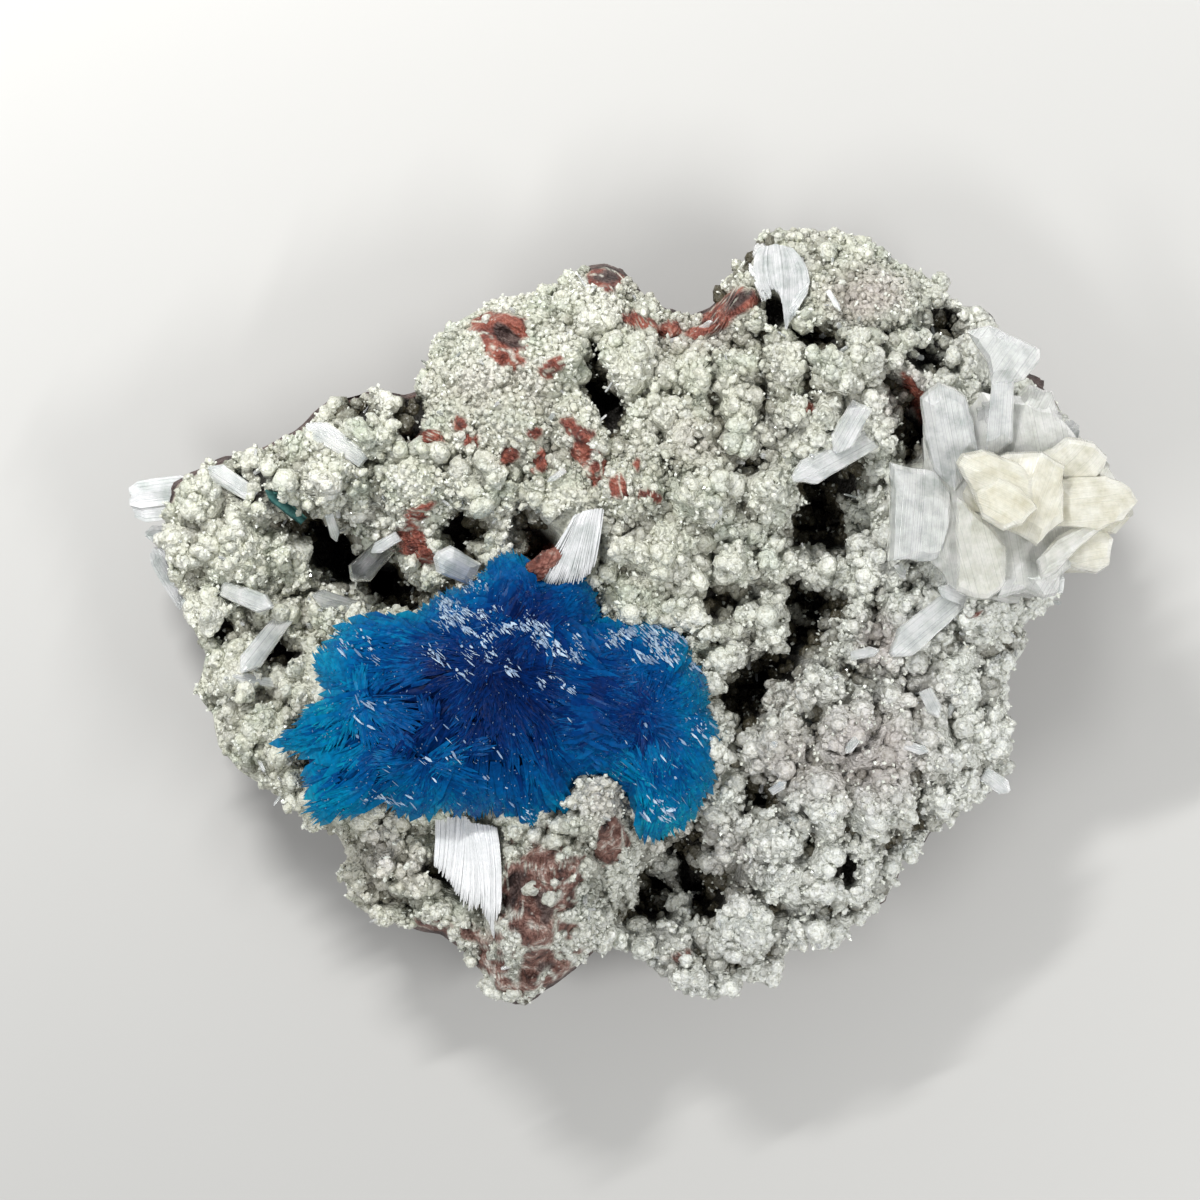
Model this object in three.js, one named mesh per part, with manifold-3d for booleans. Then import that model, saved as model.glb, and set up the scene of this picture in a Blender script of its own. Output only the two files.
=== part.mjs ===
// A cavansite specimen: a blue rosette and white stilbite crystals on crusted basalt, lying on its back.
// Lengths are millimetres. +Z is up, out of the display face. +X is the face's right and +Y its top.
import * as THREE from "three";
import { mergeVertices } from "three/addons/utils/BufferGeometryUtils.js";
import Module from "manifold-3d";

const wasm = await Module();
wasm.setup();

// Driving dimensions
const SPECIMEN_WIDTH = 132; // left crystal tip to right crystal tip
const FACE_HEIGHT = 34; // mean height of the display face over the flat back
const EDGE_HEIGHT = 15; // where the face turns into the side walls
const VIEW_DISTANCE = 700; // from the eye to the mean face: nearer things look larger by it
const CLEARANCE = 0.35; // round each crystal, where it is set in the rock
const BED_CLEARANCE = 0.75; // under the rosette
const TOOTH_DEPTH = 2; // of the notches between blade tips on the rosette's edge
const BLADE_EDGE = 1.1; // thickness of the rosette at its edge
const LUMP_PITCH = 9.6; // from one lump of the crust to the next
const LUMP_HEIGHT = 2.3;
const VUG_SIDES = 5;

// Photograph pixels: the two crystal tips, the point the eye looks at, and the middle of the specimen
const LEFT_TIP_PX = 128;
const RIGHT_TIP_PX = 1140;
const EYE_PX = [600, 600];
const MIDDLE_PX = [628, 616];
const MM_PER_PX = SPECIMEN_WIDTH / (RIGHT_TIP_PX - LEFT_TIP_PX);

// A photograph pixel at a given height, as a point of the part.
function spot([px, py], z) {
  const scale = MM_PER_PX * (1 - (z - FACE_HEIGHT) / VIEW_DISTANCE);
  return new THREE.Vector3(
    (px - EYE_PX[0]) * scale + (EYE_PX[0] - MIDDLE_PX[0]) * MM_PER_PX,
    (EYE_PX[1] - py) * scale + (MIDDLE_PX[1] - EYE_PX[1]) * MM_PER_PX,
    z,
  );
}

// A repeatable number from 0 to 1 for a pair of counters.
function chance(n, k) {
  const x = Math.sin(n * 127.1 + k * 311.7) * 43758.5453;
  return x - Math.floor(x);
}

// The rock's outline in the photograph, clockwise from its left corner.
const ROCK_CENTRE_PX = [620, 640];
const ROCK_OUTLINE_PX = [
  [160, 505], [167, 481], [205, 466], [255, 450], [290, 430], [325, 401], [362, 388], [400, 391],
  [417, 386], [425, 362], [431, 340], [455, 320], [490, 300], [530, 290], [565, 280], [584, 265],
  [605, 262], [624, 270], [645, 293], [665, 308], [690, 313], [712, 303], [733, 280], [750, 252],
  [768, 235], [800, 230], [840, 230], [875, 240], [900, 262], [940, 281], [957, 300], [982, 308],
  [1003, 330], [1030, 372], [1055, 390], [1065, 412], [1082, 440], [1090, 470], [1075, 520],
  [1063, 560], [1060, 592], [1045, 610], [1022, 620], [1025, 650], [1010, 672], [1008, 700],
  [1015, 730], [1006, 765], [998, 790], [960, 816], [930, 832], [905, 862], [890, 892], [860, 922],
  [830, 938], [790, 952], [768, 976], [738, 986], [704, 1000], [680, 990], [650, 966], [622, 950],
  [600, 946], [575, 972], [545, 991], [520, 1008], [494, 998], [480, 975], [465, 956], [440, 936],
  [408, 930], [376, 920], [348, 900], [341, 880], [347, 852], [330, 832], [300, 815], [265, 792],
  [235, 772], [213, 748], [209, 715], [195, 690], [200, 655], [188, 630], [181, 600], [166, 560],
];

// The side walls from top to back: share of the outline's radius, height, and roughness as a share.
const WALL_SECTORS = 60;
const WALL_PROFILE = [
  { out: 0.8, z: 60, rough: 0 },
  { out: 0.93, z: 36, rough: 0 },
  { out: 0.97, z: 29, rough: 0 },
  { out: 0.993, z: 22, rough: 0 },
  { out: 1.0, z: 15.5, rough: 0 },
  { out: 0.965, z: 10, rough: 0.06 },
  { out: 0.925, z: 4, rough: 0.07 },
  { out: 0.86, z: 0, rough: 0.05 },
];

// Swells and sags of the display face: where, how far they spread and how much they rise, in mm.
const SWELLS = [
  { at: [520, 370], spread: 11, rise: 4 },
  { at: [850, 330], spread: 12, rise: 7 },
  { at: [240, 610], spread: 13, rise: -9 },
  { at: [640, 520], spread: 9, rise: 4 },
  { at: [470, 720], spread: 15, rise: -7 },
  { at: [815, 580], spread: 8, rise: -7 },
  { at: [890, 740], spread: 12, rise: 2 },
  { at: [665, 885], spread: 7, rise: -11 },
  { at: [550, 905], spread: 7, rise: 4 },
  { at: [350, 555], spread: 7, rise: -7 },
  { at: [605, 812], spread: 4.5, rise: 9 },
  { at: [385, 880], spread: 7, rise: -2 },
  { at: [1005, 505], spread: 8, rise: 5 },
  { at: [330, 470], spread: 7, rise: 4 },
];

// Vugs in the crust: where each opens, its half sizes across and along, its turn in degrees and its depth.
const VUGS = [
  { at: [604, 392], half: [2.0, 5.0], turn: 12, depth: 14 },
  { at: [326, 545], half: [5.6, 3.0], turn: -25, depth: 11 },
  { at: [388, 591], half: [3.4, 2.0], turn: -25, depth: 12 },
  { at: [409, 415], half: [1.3, 3.8], turn: 0, depth: 9 },
  { at: [357, 408], half: [2.4, 1.2], turn: -15, depth: 7 },
  { at: [247, 482], half: [1.7, 1.7], turn: 0, depth: 6 },
  { at: [460, 535], half: [2.0, 3.2], turn: -30, depth: 11 },
  { at: [533, 543], half: [1.9, 3.6], turn: 20, depth: 13 },
  { at: [835, 484], half: [3.8, 2.5], turn: 10, depth: 13 },
  { at: [824, 527], half: [3.6, 3.4], turn: -30, depth: 13 },
  { at: [911, 432], half: [1.5, 3.2], turn: 0, depth: 12 },
  { at: [928, 362], half: [3.0, 1.1], turn: -20, depth: 7 },
  { at: [947, 328], half: [1.9, 2.7], turn: 15, depth: 7 },
  { at: [819, 338], half: [3.2, 1.4], turn: -20, depth: 8 },
  { at: [814, 618], half: [3.4, 3.8], turn: 20, depth: 14 },
  { at: [751, 694], half: [2.6, 4.6], turn: -20, depth: 14 },
  { at: [782, 665], half: [2.8, 1.4], turn: 0, depth: 9 },
  { at: [716, 606], half: [2.6, 2.0], turn: -10, depth: 8 },
  { at: [692, 846], half: [3.0, 1.6], turn: 10, depth: 9 },
  { at: [703, 892], half: [1.9, 4.0], turn: 25, depth: 10 },
  { at: [656, 903], half: [2.0, 3.0], turn: 0, depth: 8 },
  { at: [760, 800], half: [1.8, 1.9], turn: 0, depth: 8 },
];

// The rosette's fans of blades. Each spreads from the apex to its outline, which the photograph shows.
const ROSETTE_FANS = [
  {
    apex: [488, 664], edge: 31.5, crown: 45.5, root: 21, teeth: 37,
    outline: [
      [271, 742], [298, 718], [317, 694], [313, 657], [329, 631], [349, 616], [377, 611], [409, 616],
      [424, 603], [441, 590], [467, 584], [505, 575], [560, 580], [605, 612], [632, 660], [640, 710],
      [626, 765], [594, 783], [582, 788], [573, 801], [578, 823], [547, 818], [534, 834], [521, 824],
      [492, 818], [467, 817], [444, 815], [428, 822], [390, 813], [371, 807], [352, 819], [316, 826],
      [298, 807], [301, 794], [294, 762],
    ],
  },
  {
    apex: [642, 712], edge: 31.5, crown: 44, root: 22, teeth: 25,
    outline: [
      [548, 690], [560, 640], [596, 617], [626, 613], [649, 619], [674, 625], [690, 641], [692, 657],
      [706, 670], [712, 694], [709, 708], [722, 730], [722, 750], [719, 772], [712, 797], [696, 817],
      [687, 832], [661, 839], [645, 847], [637, 839], [635, 826], [630, 813], [626, 797], [610, 785],
      [575, 765],
    ],
  },
  {
    apex: [536, 612], edge: 33, crown: 42.5, root: 24, teeth: 17,
    outline: [
      [470, 640], [462, 604], [473, 577], [486, 565], [495, 552], [515, 549], [531, 561], [540, 578],
      [562, 580], [588, 574], [596, 584], [601, 600], [604, 620], [590, 650], [520, 665],
    ],
  },
];

// Tabular crystals: the pixels of root and tip, each with its height over the face, then width and
// thickness. roll turns one about its length. foot and point say how far its ends narrow, and shoulder
// where the point begins.
const CRYSTALS = [
  {
    name: "stilbite_corner_sheaf", root: [198, 494, -5], tip: [127, 503, 4],
    width: 5.6, thick: 3.4, point: 0.6,
  },
  {
    name: "stilbite_corner_block", root: [180, 532, -4], tip: [146, 534, 1],
    width: 2.2, thick: 2.2, point: 0.8,
  },
  {
    name: "stilbite_corner_blade", root: [190, 604, -4], tip: [155, 545, 0],
    width: 3.4, thick: 1.8, point: 0.5,
  },
  { name: "stilbite_rim_blade", root: [253, 496, 0], tip: [209, 467, 4.5], width: 2.6, thick: 1.4 },
  { name: "stilbite_ledge_blade", root: [364, 459, 0.5], tip: [308, 424, 3.5], width: 3.1, thick: 1.8 },
  {
    name: "stilbite_striated_blade", root: [222, 588, 0.5], tip: [271, 607, 4],
    width: 2.6, thick: 1.4,
  },
  {
    name: "stilbite_slanted_blade", root: [287, 614, 0.5], tip: [242, 672, 5],
    width: 2.9, thick: 1.4, point: 0.4,
  },
  {
    name: "stilbite_needle", root: [278, 684, 0.5], tip: [234, 676, 4],
    width: 1.4, thick: 1.1, point: 0.6,
  },
  { name: "stilbite_vug_blade", root: [368, 612, 0.5], tip: [312, 596, 4], width: 2.4, thick: 1.4 },
  {
    name: "stilbite_vug_tablet", root: [386, 545, 0.5], tip: [353, 580, 4],
    width: 3.4, thick: 1.6, point: 0.5,
  },
  {
    name: "stilbite_pale_tablet", root: [474, 574, 0.5], tip: [438, 556, 4.5],
    width: 3.9, thick: 2.2, point: 0.6,
  },
  {
    name: "stilbite_white_fan", root: [606, 508, 1], tip: [560, 578, 7], width: 9.4, thick: 2.2, roll: 8,
    foot: 0.22, shoulder: 0.72, point: 0.9,
  },
  {
    name: "stilbite_top_plate", root: [772, 246, 3], tip: [786, 321, 3],
    width: 6, thick: 1.8, point: 0.25,
  },
  {
    name: "stilbite_shelf_blade", root: [872, 438, 1], tip: [794, 480, 5],
    width: 3.6, thick: 2.0, point: 0.6,
  },
  {
    name: "stilbite_lower_blade", root: [960, 596, 1.5], tip: [892, 653, 6],
    width: 3.9, thick: 2.1, point: 0.5,
  },
  {
    name: "stilbite_white_plate", root: [472, 812, 2], tip: [490, 933, 3.5], width: 9.6, thick: 1.8, roll: -6,
    foot: 0.95, shoulder: 0.42, point: 0.24,
  },
  {
    name: "stilbite_edge_block", root: [1034, 590, -2], tip: [1063, 577, 4],
    width: 3.6, thick: 3, point: 0.8,
  },
];

// The large cluster: crystals grown through each other from one root. Heights are over the flat back.
const CLUSTER_ROOT = { at: [1012, 518, 33], half: [12.5, 11, 5.5] };
const CLUSTER = [
  { root: [976, 492, 34], tip: [941, 386, 43], width: 7.8, thick: 4.0, point: 0.5, foot: 0.9 },
  { root: [938, 560, 34], tip: [915, 459, 42], width: 7.2, thick: 4.2, point: 0.7, foot: 0.85 },
  { root: [968, 538, 34], tip: [934, 444, 41], width: 3.8, thick: 3.2, point: 0.5, foot: 0.9 },
  { root: [1002, 500, 34], tip: [1003, 372, 42], width: 4.2, thick: 3.2, point: 0.9, foot: 1 },
  {
    root: [984, 366, 37], tip: [1039, 350, 44],
    width: 7, thick: 3.8, point: 0.7, foot: 0.6, shoulder: 0.6,
  },
  { root: [1012, 352, 40], tip: [966, 337, 39], width: 2.4, thick: 2.2, point: 0.7 },
  { root: [1034, 520, 34], tip: [961, 472, 48], width: 9, thick: 6.4, point: 0.45, foot: 0.9 },
  { root: [1014, 492, 34], tip: [996, 543, 48], width: 9.4, thick: 6.6, point: 0.5, foot: 0.9 },
  { root: [1014, 520, 34], tip: [1052, 452, 46], width: 9.4, thick: 6.4, point: 0.6, foot: 0.8 },
  {
    root: [1022, 512, 35], tip: [1139, 499, 43],
    width: 8.6, thick: 6.2, point: 0.4, foot: 0.8, shoulder: 0.68,
  },
  { root: [1035, 506, 34], tip: [1110, 452, 39], width: 5.2, thick: 4, point: 0.6, foot: 0.8 },
  { root: [1020, 545, 34], tip: [1112, 543, 38], width: 7.8, thick: 5, point: 0.6, foot: 0.8 },
  { root: [1044, 552, 35], tip: [1080, 488, 46], width: 6.4, thick: 4.6, point: 0.6, foot: 0.8 },
  { root: [990, 556, 34], tip: [968, 490, 43], width: 6.4, thick: 4.6, point: 0.5, foot: 1 },
  { root: [1010, 494, 34], tip: [1046, 404, 37], width: 6.6, thick: 4.2, point: 0.7, foot: 0.7 },
  { root: [1036, 484, 34], tip: [1077, 420, 35], width: 3, thick: 2.6, point: 0.5 },
  { root: [1018, 578, 33], tip: [966, 560, 40], width: 7.4, thick: 5, point: 0.8, foot: 0.8 },
];

const SMALL_CAVANSITE = {
  name: "cavansite_small_fan", root: [303, 521, -1], tip: [267, 491, 1.5], width: 1.6, thick: 1, point: 0.5,
};

// A closed outline as a distance from its centre for each angle, straight between its points.
function outlineRadius(points, centre) {
  const polar = points
    .map((p) => [Math.atan2(p.y - centre.y, p.x - centre.x), Math.hypot(p.x - centre.x, p.y - centre.y)])
    .sort((a, b) => a[0] - b[0]);
  const first = polar[0];
  const last = polar[polar.length - 1];
  const whole = [[last[0] - 2 * Math.PI, last[1]], ...polar, [first[0] + 2 * Math.PI, first[1]]];
  return (angle) => {
    const a = Math.atan2(Math.sin(angle), Math.cos(angle));
    const i = whole.findIndex((p) => p[0] > a);
    const [a0, r0] = whole[i - 1];
    const [a1, r1] = whole[i];
    return r0 + ((r1 - r0) * (a - a0)) / (a1 - a0);
  };
}

const rockCentre = spot(ROCK_CENTRE_PX, EDGE_HEIGHT);
const rockRadius = outlineRadius(ROCK_OUTLINE_PX.map((p) => spot(p, EDGE_HEIGHT)), rockCentre);

// How far out a point of the face lies: 0 at the rock's centre, 1 on its outline.
function shareOut(x, y) {
  const dx = x - rockCentre.x;
  const dy = y - rockCentre.y;
  return Math.hypot(dx, dy) / rockRadius(Math.atan2(dy, dx));
}

// The display face without its lumps: a plateau that rounds off to its edge, with swells and sags.
function faceHeight(x, y) {
  const out = Math.min(shareOut(x, y), 1);
  let z = EDGE_HEIGHT + (FACE_HEIGHT - EDGE_HEIGHT) * Math.sqrt(1 - out ** 6);
  for (const { at, spread, rise } of SWELLS) {
    const middle = spot(at, FACE_HEIGHT);
    const far = Math.hypot(x - middle.x, y - middle.y) / spread;
    z += rise * Math.exp(-far * far / 2) * Math.sqrt(1 - out ** 6);
  }
  return z;
}

// A photograph pixel at a height over the flat back.
const overBack = ([px, py, z]) => spot([px, py], z);

// A photograph pixel on the display face, lifted off it by the given height.
function onFace([px, py, lift]) {
  const level = spot([px, py], FACE_HEIGHT);
  const place = spot([px, py], faceHeight(level.x, level.y));
  return spot([px, py], faceHeight(place.x, place.y) + lift);
}

// Rings of equal counts, from the top pole down to the bottom pole, as one closed surface.
function closedRings(top, rings, bottom) {
  const count = rings[0].length;
  const points = [top, ...rings.flat(), bottom];
  const index = [];
  const at = (ring, i) => 1 + ring * count + (i % count);
  for (let i = 0; i < count; i++) {
    index.push(0, at(0, i), at(0, i + 1));
    for (let ring = 0; ring < rings.length - 1; ring++) {
      index.push(at(ring, i), at(ring + 1, i), at(ring + 1, i + 1));
      index.push(at(ring, i), at(ring + 1, i + 1), at(ring, i + 1));
    }
    index.push(points.length - 1, at(rings.length - 1, i + 1), at(rings.length - 1, i));
  }
  return new THREE.BufferGeometry().setFromPoints(points).setIndex(index);
}

function solidOf(geometry) {
  const bare = geometry.clone();
  bare.deleteAttribute("normal");
  bare.deleteAttribute("uv");
  const merged = mergeVertices(bare, 1e-4);
  return new wasm.Manifold(
    new wasm.Mesh({
      numProp: 3,
      vertProperties: new Float32Array(merged.attributes.position.array),
      triVerts: new Uint32Array(merged.index.array),
    }),
  );
}

function geometryOf(solid) {
  const mesh = solid.getMesh();
  return new THREE.BufferGeometry()
    .setAttribute("position", new THREE.BufferAttribute(mesh.vertProperties, 3))
    .setIndex(new THREE.BufferAttribute(mesh.triVerts, 1));
}

// The largest of a solid's separate bodies: a cut can leave crumbs, which are dropped.
function mainBody(solid) {
  return solid.decompose().reduce((best, body) => (body.volume() > best.volume() ? body : best));
}

// Whether a point of the face is under the rosette, which has no lumps beneath it.
function underRosette(x, y) {
  return ROSETTE_FANS.some(({ apex, outline, edge }) => {
    const centre = spot(apex, edge);
    const radius = outlineRadius(outline.map((p) => spot(p, edge)), centre);
    return Math.hypot(x - centre.x, y - centre.y) < 0.88 * radius(Math.atan2(y - centre.y, x - centre.x));
  });
}

// The crust over the whole face as one slab: a lattice of six-sided lumps that share their valleys.
function lumpySlab() {
  const reach = LUMP_PITCH / Math.sqrt(3);
  const columns = Math.ceil((0.56 * SPECIMEN_WIDTH) / LUMP_PITCH);
  const rows = Math.ceil((0.44 * SPECIMEN_WIDTH) / (LUMP_PITCH * Math.sin(Math.PI / 3)));
  const points = [];
  const index = [];
  const valleys = new Map();
  const addPoint = (x, y, rise) => points.push(new THREE.Vector3(x, y, faceHeight(x, y) + rise)) - 1;
  const valleyAt = (x, y) => {
    const key = `${Math.round((2 * x) / LUMP_PITCH)},${Math.round((2 * y) / reach)}`;
    if (!valleys.has(key)) {
      const n = valleys.size;
      const shift = (k) => LUMP_PITCH * 0.34 * (chance(n, k) - 0.5);
      valleys.set(key, addPoint(x + shift(1), y + shift(2), -LUMP_HEIGHT * (0.55 + 0.5 * chance(n, 3))));
    }
    return valleys.get(key);
  };
  for (let row = -rows; row <= rows; row++) {
    for (let column = -columns; column <= columns; column++) {
      const x = LUMP_PITCH * (column + (Math.abs(row) % 2) / 2);
      const y = LUMP_PITCH * row * Math.sin(Math.PI / 3);
      const n = row * 97 + column;
      const corners = [0, 1, 2, 3, 4, 5].map((k) => {
        const angle = ((k + 0.5) * Math.PI) / 3;
        return valleyAt(x + reach * Math.cos(angle), y + reach * Math.sin(angle));
      });
      const covered = underRosette(x, y);
      const height = covered ? 0 : LUMP_HEIGHT * (0.25 + 0.95 * chance(n, 4));
      const top = addPoint(x + 1.6 * (chance(n, 5) - 0.5), y + 1.6 * (chance(n, 6) - 0.5), height);
      if (covered) {
        for (let k = 0; k < 6; k++) index.push(top, corners[k], corners[(k + 1) % 6]);
        continue;
      }
      const shoulders = corners.map((corner, k) => {
        const share = 0.52 + 0.16 * chance(n, 10 + k);
        const px = x + (points[corner].x - x) * share;
        const py = y + (points[corner].y - y) * share;
        return addPoint(px, py, height * (0.45 + 0.4 * chance(n, 20 + k)));
      });
      for (let k = 0; k < 6; k++) {
        const next = (k + 1) % 6;
        index.push(top, shoulders[k], shoulders[next]);
        index.push(shoulders[k], corners[k], corners[next], shoulders[k], corners[next], shoulders[next]);
      }
    }
  }
  return closedBelow(points, index, -EDGE_HEIGHT);
}

// A sheet of triangles made solid: its copy, flat at the given height, closes it below.
function closedBelow(points, index, floor) {
  const count = points.length;
  const below = points.map((p) => new THREE.Vector3(p.x, p.y, floor));
  const edges = new Set();
  const all = [...index];
  for (let i = 0; i < index.length; i += 3) {
    const [a, b, c] = index.slice(i, i + 3);
    all.push(c + count, b + count, a + count);
    for (const [from, to] of [[a, b], [b, c], [c, a]]) edges.add(`${from} ${to}`);
  }
  for (const edge of edges) {
    const [from, to] = edge.split(" ").map(Number);
    if (edges.has(`${to} ${from}`)) continue;
    all.push(to, from, from + count, to, from + count, to + count);
  }
  return new THREE.BufferGeometry().setFromPoints([...points, ...below]).setIndex(all);
}

// The rock's sides: rough walls that draw in to the flat back, and shoulders that round off the face.
function sideWalls() {
  const angles = Array.from({ length: WALL_SECTORS }, (_, i) => (2 * Math.PI * i) / WALL_SECTORS);
  const rings = WALL_PROFILE.map(({ out, z, rough }, k) =>
    angles.map((angle, i) => {
      const r = rockRadius(angle) * (out + rough * (chance(i, k) - 0.5));
      return new THREE.Vector3(rockCentre.x + r * Math.cos(angle), rockCentre.y + r * Math.sin(angle), z);
    }),
  );
  const pole = (z) => new THREE.Vector3(rockCentre.x, rockCentre.y, z);
  return closedRings(pole(WALL_PROFILE[0].z), rings, pole(0));
}

// A vug: a deep pocket with uneven sides.
function vugCut({ at, half, turn, depth }) {
  const mouth = spot(at, FACE_HEIGHT);
  const lip = faceHeight(mouth.x, mouth.y);
  const turned = (turn * Math.PI) / 180;
  const ring = (scale, z, k) =>
    Array.from({ length: VUG_SIDES }, (_, i) => {
      const angle = (2 * Math.PI * i) / VUG_SIDES;
      const r = scale * (0.88 + 0.24 * chance(at[0] + i, k));
      return new THREE.Vector3(half[0] * r * Math.cos(angle), half[1] * r * Math.sin(angle), 0)
        .applyAxisAngle(new THREE.Vector3(0, 0, 1), turned)
        .add(new THREE.Vector3(mouth.x, mouth.y, z));
    });
  const rings = [ring(1.3, lip + 4, 0), ring(0.85, lip - 0.6 * depth, 1)];
  const pole = (z) => new THREE.Vector3(mouth.x, mouth.y, z);
  return solidOf(closedRings(pole(lip + 4), rings, pole(lip - depth)));
}

// One fan of the rosette: pleated into blades, thin at its toothed edge and rooted in the rock.
function rosetteFan({ apex, edge, crown, root, teeth, outline }, grow = 0) {
  const centre = spot(apex, edge);
  const radius = outlineRadius(outline.map((p) => spot(p, edge)), centre);
  const sectors = grow ? teeth : teeth * 2;
  const upper = grow ? [0.6, 1] : [0.36, 0.66, 0.88, 1];
  const lower = grow ? [1, 0.5] : [0.7];
  const ring = (out, height) =>
    Array.from({ length: sectors }, (_, i) => {
      const angle = (2 * Math.PI * i) / sectors;
      const valley = i % 2 === 1 && !grow;
      const uneven = 0.4 + 1.2 * chance(i, teeth);
      const r = (radius(angle) - (valley ? TOOTH_DEPTH * uneven : 0) + grow) * out;
      const pleat = valley ? uneven * out : 0;
      return new THREE.Vector3(
        centre.x + r * Math.cos(angle),
        centre.y + r * Math.sin(angle),
        height - pleat,
      );
    });
  const rise = (out) => edge + (crown - edge) * (1 - out ** 2) ** 0.62 + grow;
  const fall = (out) => edge - BLADE_EDGE - (edge - BLADE_EDGE - root) * (1 - out) ** 1.3 - grow;
  return solidOf(
    closedRings(
      new THREE.Vector3(centre.x, centre.y, crown + grow),
      [...upper.map((out) => ring(out, rise(out))), ...lower.map((out) => ring(out, fall(out)))],
      new THREE.Vector3(centre.x, centre.y, root - grow),
    ),
  );
}

// A tabular crystal with six flat sides, which narrows to its foot and, past its shoulder, to its point.
function crystalSolid(shape, place, grow = 0) {
  const { root, tip, width, thick, roll = 0, foot = 0.8, shoulder = 0.8, point = 0.35 } = shape;
  const from = place(root);
  const to = place(tip);
  const along = to.clone().sub(from).normalize();
  from.addScaledVector(along, -grow);
  to.addScaledVector(along, grow);
  const across = new THREE.Vector3(0, 0, 1).cross(along).normalize();
  across.applyAxisAngle(along, (roll * Math.PI) / 180);
  const through = along.clone().cross(across);
  const section = (share, scale) =>
    [[1, 0], [0.68, 1], [-0.68, 1], [-1, 0], [-0.68, -1], [0.68, -1]].map(([a, b]) =>
      from
        .clone()
        .lerp(to, share)
        .addScaledVector(across, a * (width * 0.5 * scale + grow))
        .addScaledVector(through, b * (thick * 0.5 * (0.45 + 0.55 * scale) + grow)),
    );
  const rings = [section(1, point), section(shoulder, 1), section(0, foot)];
  return solidOf(closedRings(to, rings, from));
}

// The mass at the cluster's foot that its crystals grow from.
function clusterRoot(grow = 0) {
  const [x, y, z] = CLUSTER_ROOT.half.map((half) => half + grow);
  const { x: px, y: py, z: pz } = overBack(CLUSTER_ROOT.at);
  return solidOf(new THREE.IcosahedronGeometry(1, 0).scale(x, y, z).translate(px, py, pz));
}

// Every solid, by name. The crystals keep their shape, and the rock and the rosette are cut to clear them.
function specimenSolids() {
  const single = [...CRYSTALS, SMALL_CAVANSITE];
  const cluster = wasm.Manifold.union([
    clusterRoot(),
    ...CLUSTER.map((shape) => crystalSolid(shape, overBack)),
  ]);
  const sockets = wasm.Manifold.union([
    clusterRoot(CLEARANCE),
    ...single.map((shape) => crystalSolid(shape, onFace, CLEARANCE)),
    ...CLUSTER.map((shape) => crystalSolid(shape, overBack, CLEARANCE)),
  ]);
  const rosette = wasm.Manifold.union(ROSETTE_FANS.map((fan) => rosetteFan(fan)));
  const bed = wasm.Manifold.union(ROSETTE_FANS.map((fan) => rosetteFan(fan, BED_CLEARANCE)));
  const rock = solidOf(lumpySlab())
    .intersect(solidOf(sideWalls()))
    .subtract(wasm.Manifold.union(VUGS.map(vugCut)))
    .subtract(bed)
    .subtract(sockets);
  return new Map([
    ["basalt_matrix", mainBody(rock)],
    ["cavansite_rosette", mainBody(rosette.subtract(sockets))],
    ["stilbite_cluster", cluster],
    ...single.map((shape) => [shape.name, crystalSolid(shape, onFace)]),
  ]);
}

const matrixStone = new THREE.MeshStandardMaterial({ color: 0xb4b5a4, roughness: 0.85, metalness: 0 });
const cavansiteBlue = new THREE.MeshStandardMaterial({ color: 0x07508f, roughness: 0.4, metalness: 0 });
const stilbiteWhite = new THREE.MeshStandardMaterial({ color: 0xdfe0d4, roughness: 0.3, metalness: 0 });

function materialFor(name) {
  if (name.startsWith("basalt")) return matrixStone;
  return name.startsWith("cavansite") ? cavansiteBlue : stilbiteWhite;
}

const specimen = new THREE.Group();
for (const [name, solid] of specimenSolids()) {
  const mesh = new THREE.Mesh(geometryOf(solid), materialFor(name));
  mesh.name = name;
  specimen.add(mesh);
}

export default specimen;
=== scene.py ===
"""A cavansite specimen: a blue rosette and white stilbite crystals on crusted basalt, lying on its back.

Tables and shapes are in millimetres, and a mesh is turned to metres when it is made. +Z is up, out of the
display face. Places on the face are photograph pixels, which spot() turns to points of the specimen.
"""

import bpy
import numpy as np
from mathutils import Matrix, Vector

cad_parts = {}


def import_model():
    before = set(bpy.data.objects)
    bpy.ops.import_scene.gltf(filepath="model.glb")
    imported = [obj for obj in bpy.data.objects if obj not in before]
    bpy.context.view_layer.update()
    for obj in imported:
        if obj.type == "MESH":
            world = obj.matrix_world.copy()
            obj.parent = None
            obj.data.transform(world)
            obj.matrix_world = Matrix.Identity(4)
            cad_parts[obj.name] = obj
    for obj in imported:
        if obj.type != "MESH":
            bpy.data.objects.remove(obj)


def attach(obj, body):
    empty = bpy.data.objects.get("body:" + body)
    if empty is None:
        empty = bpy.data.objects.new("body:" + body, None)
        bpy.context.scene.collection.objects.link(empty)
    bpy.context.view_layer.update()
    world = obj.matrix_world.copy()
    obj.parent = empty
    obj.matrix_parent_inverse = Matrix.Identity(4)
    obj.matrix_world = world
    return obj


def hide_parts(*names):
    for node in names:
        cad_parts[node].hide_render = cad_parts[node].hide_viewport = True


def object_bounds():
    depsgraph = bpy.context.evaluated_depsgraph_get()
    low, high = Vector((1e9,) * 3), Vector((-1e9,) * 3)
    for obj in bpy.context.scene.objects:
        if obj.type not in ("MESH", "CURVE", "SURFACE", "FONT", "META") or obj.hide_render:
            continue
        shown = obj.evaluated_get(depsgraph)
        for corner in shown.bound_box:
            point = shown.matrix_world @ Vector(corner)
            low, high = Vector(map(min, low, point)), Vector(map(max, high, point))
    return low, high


MM = 0.001
TURN = 2 * np.pi
SEED = 41
HASH_STEPS = np.array([127.1, 311.7, 74.7])  # any large numbers that don't divide each other
HASH_SEED_STEP = 53.3
HASH_SIZE = 43758.5453

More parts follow.
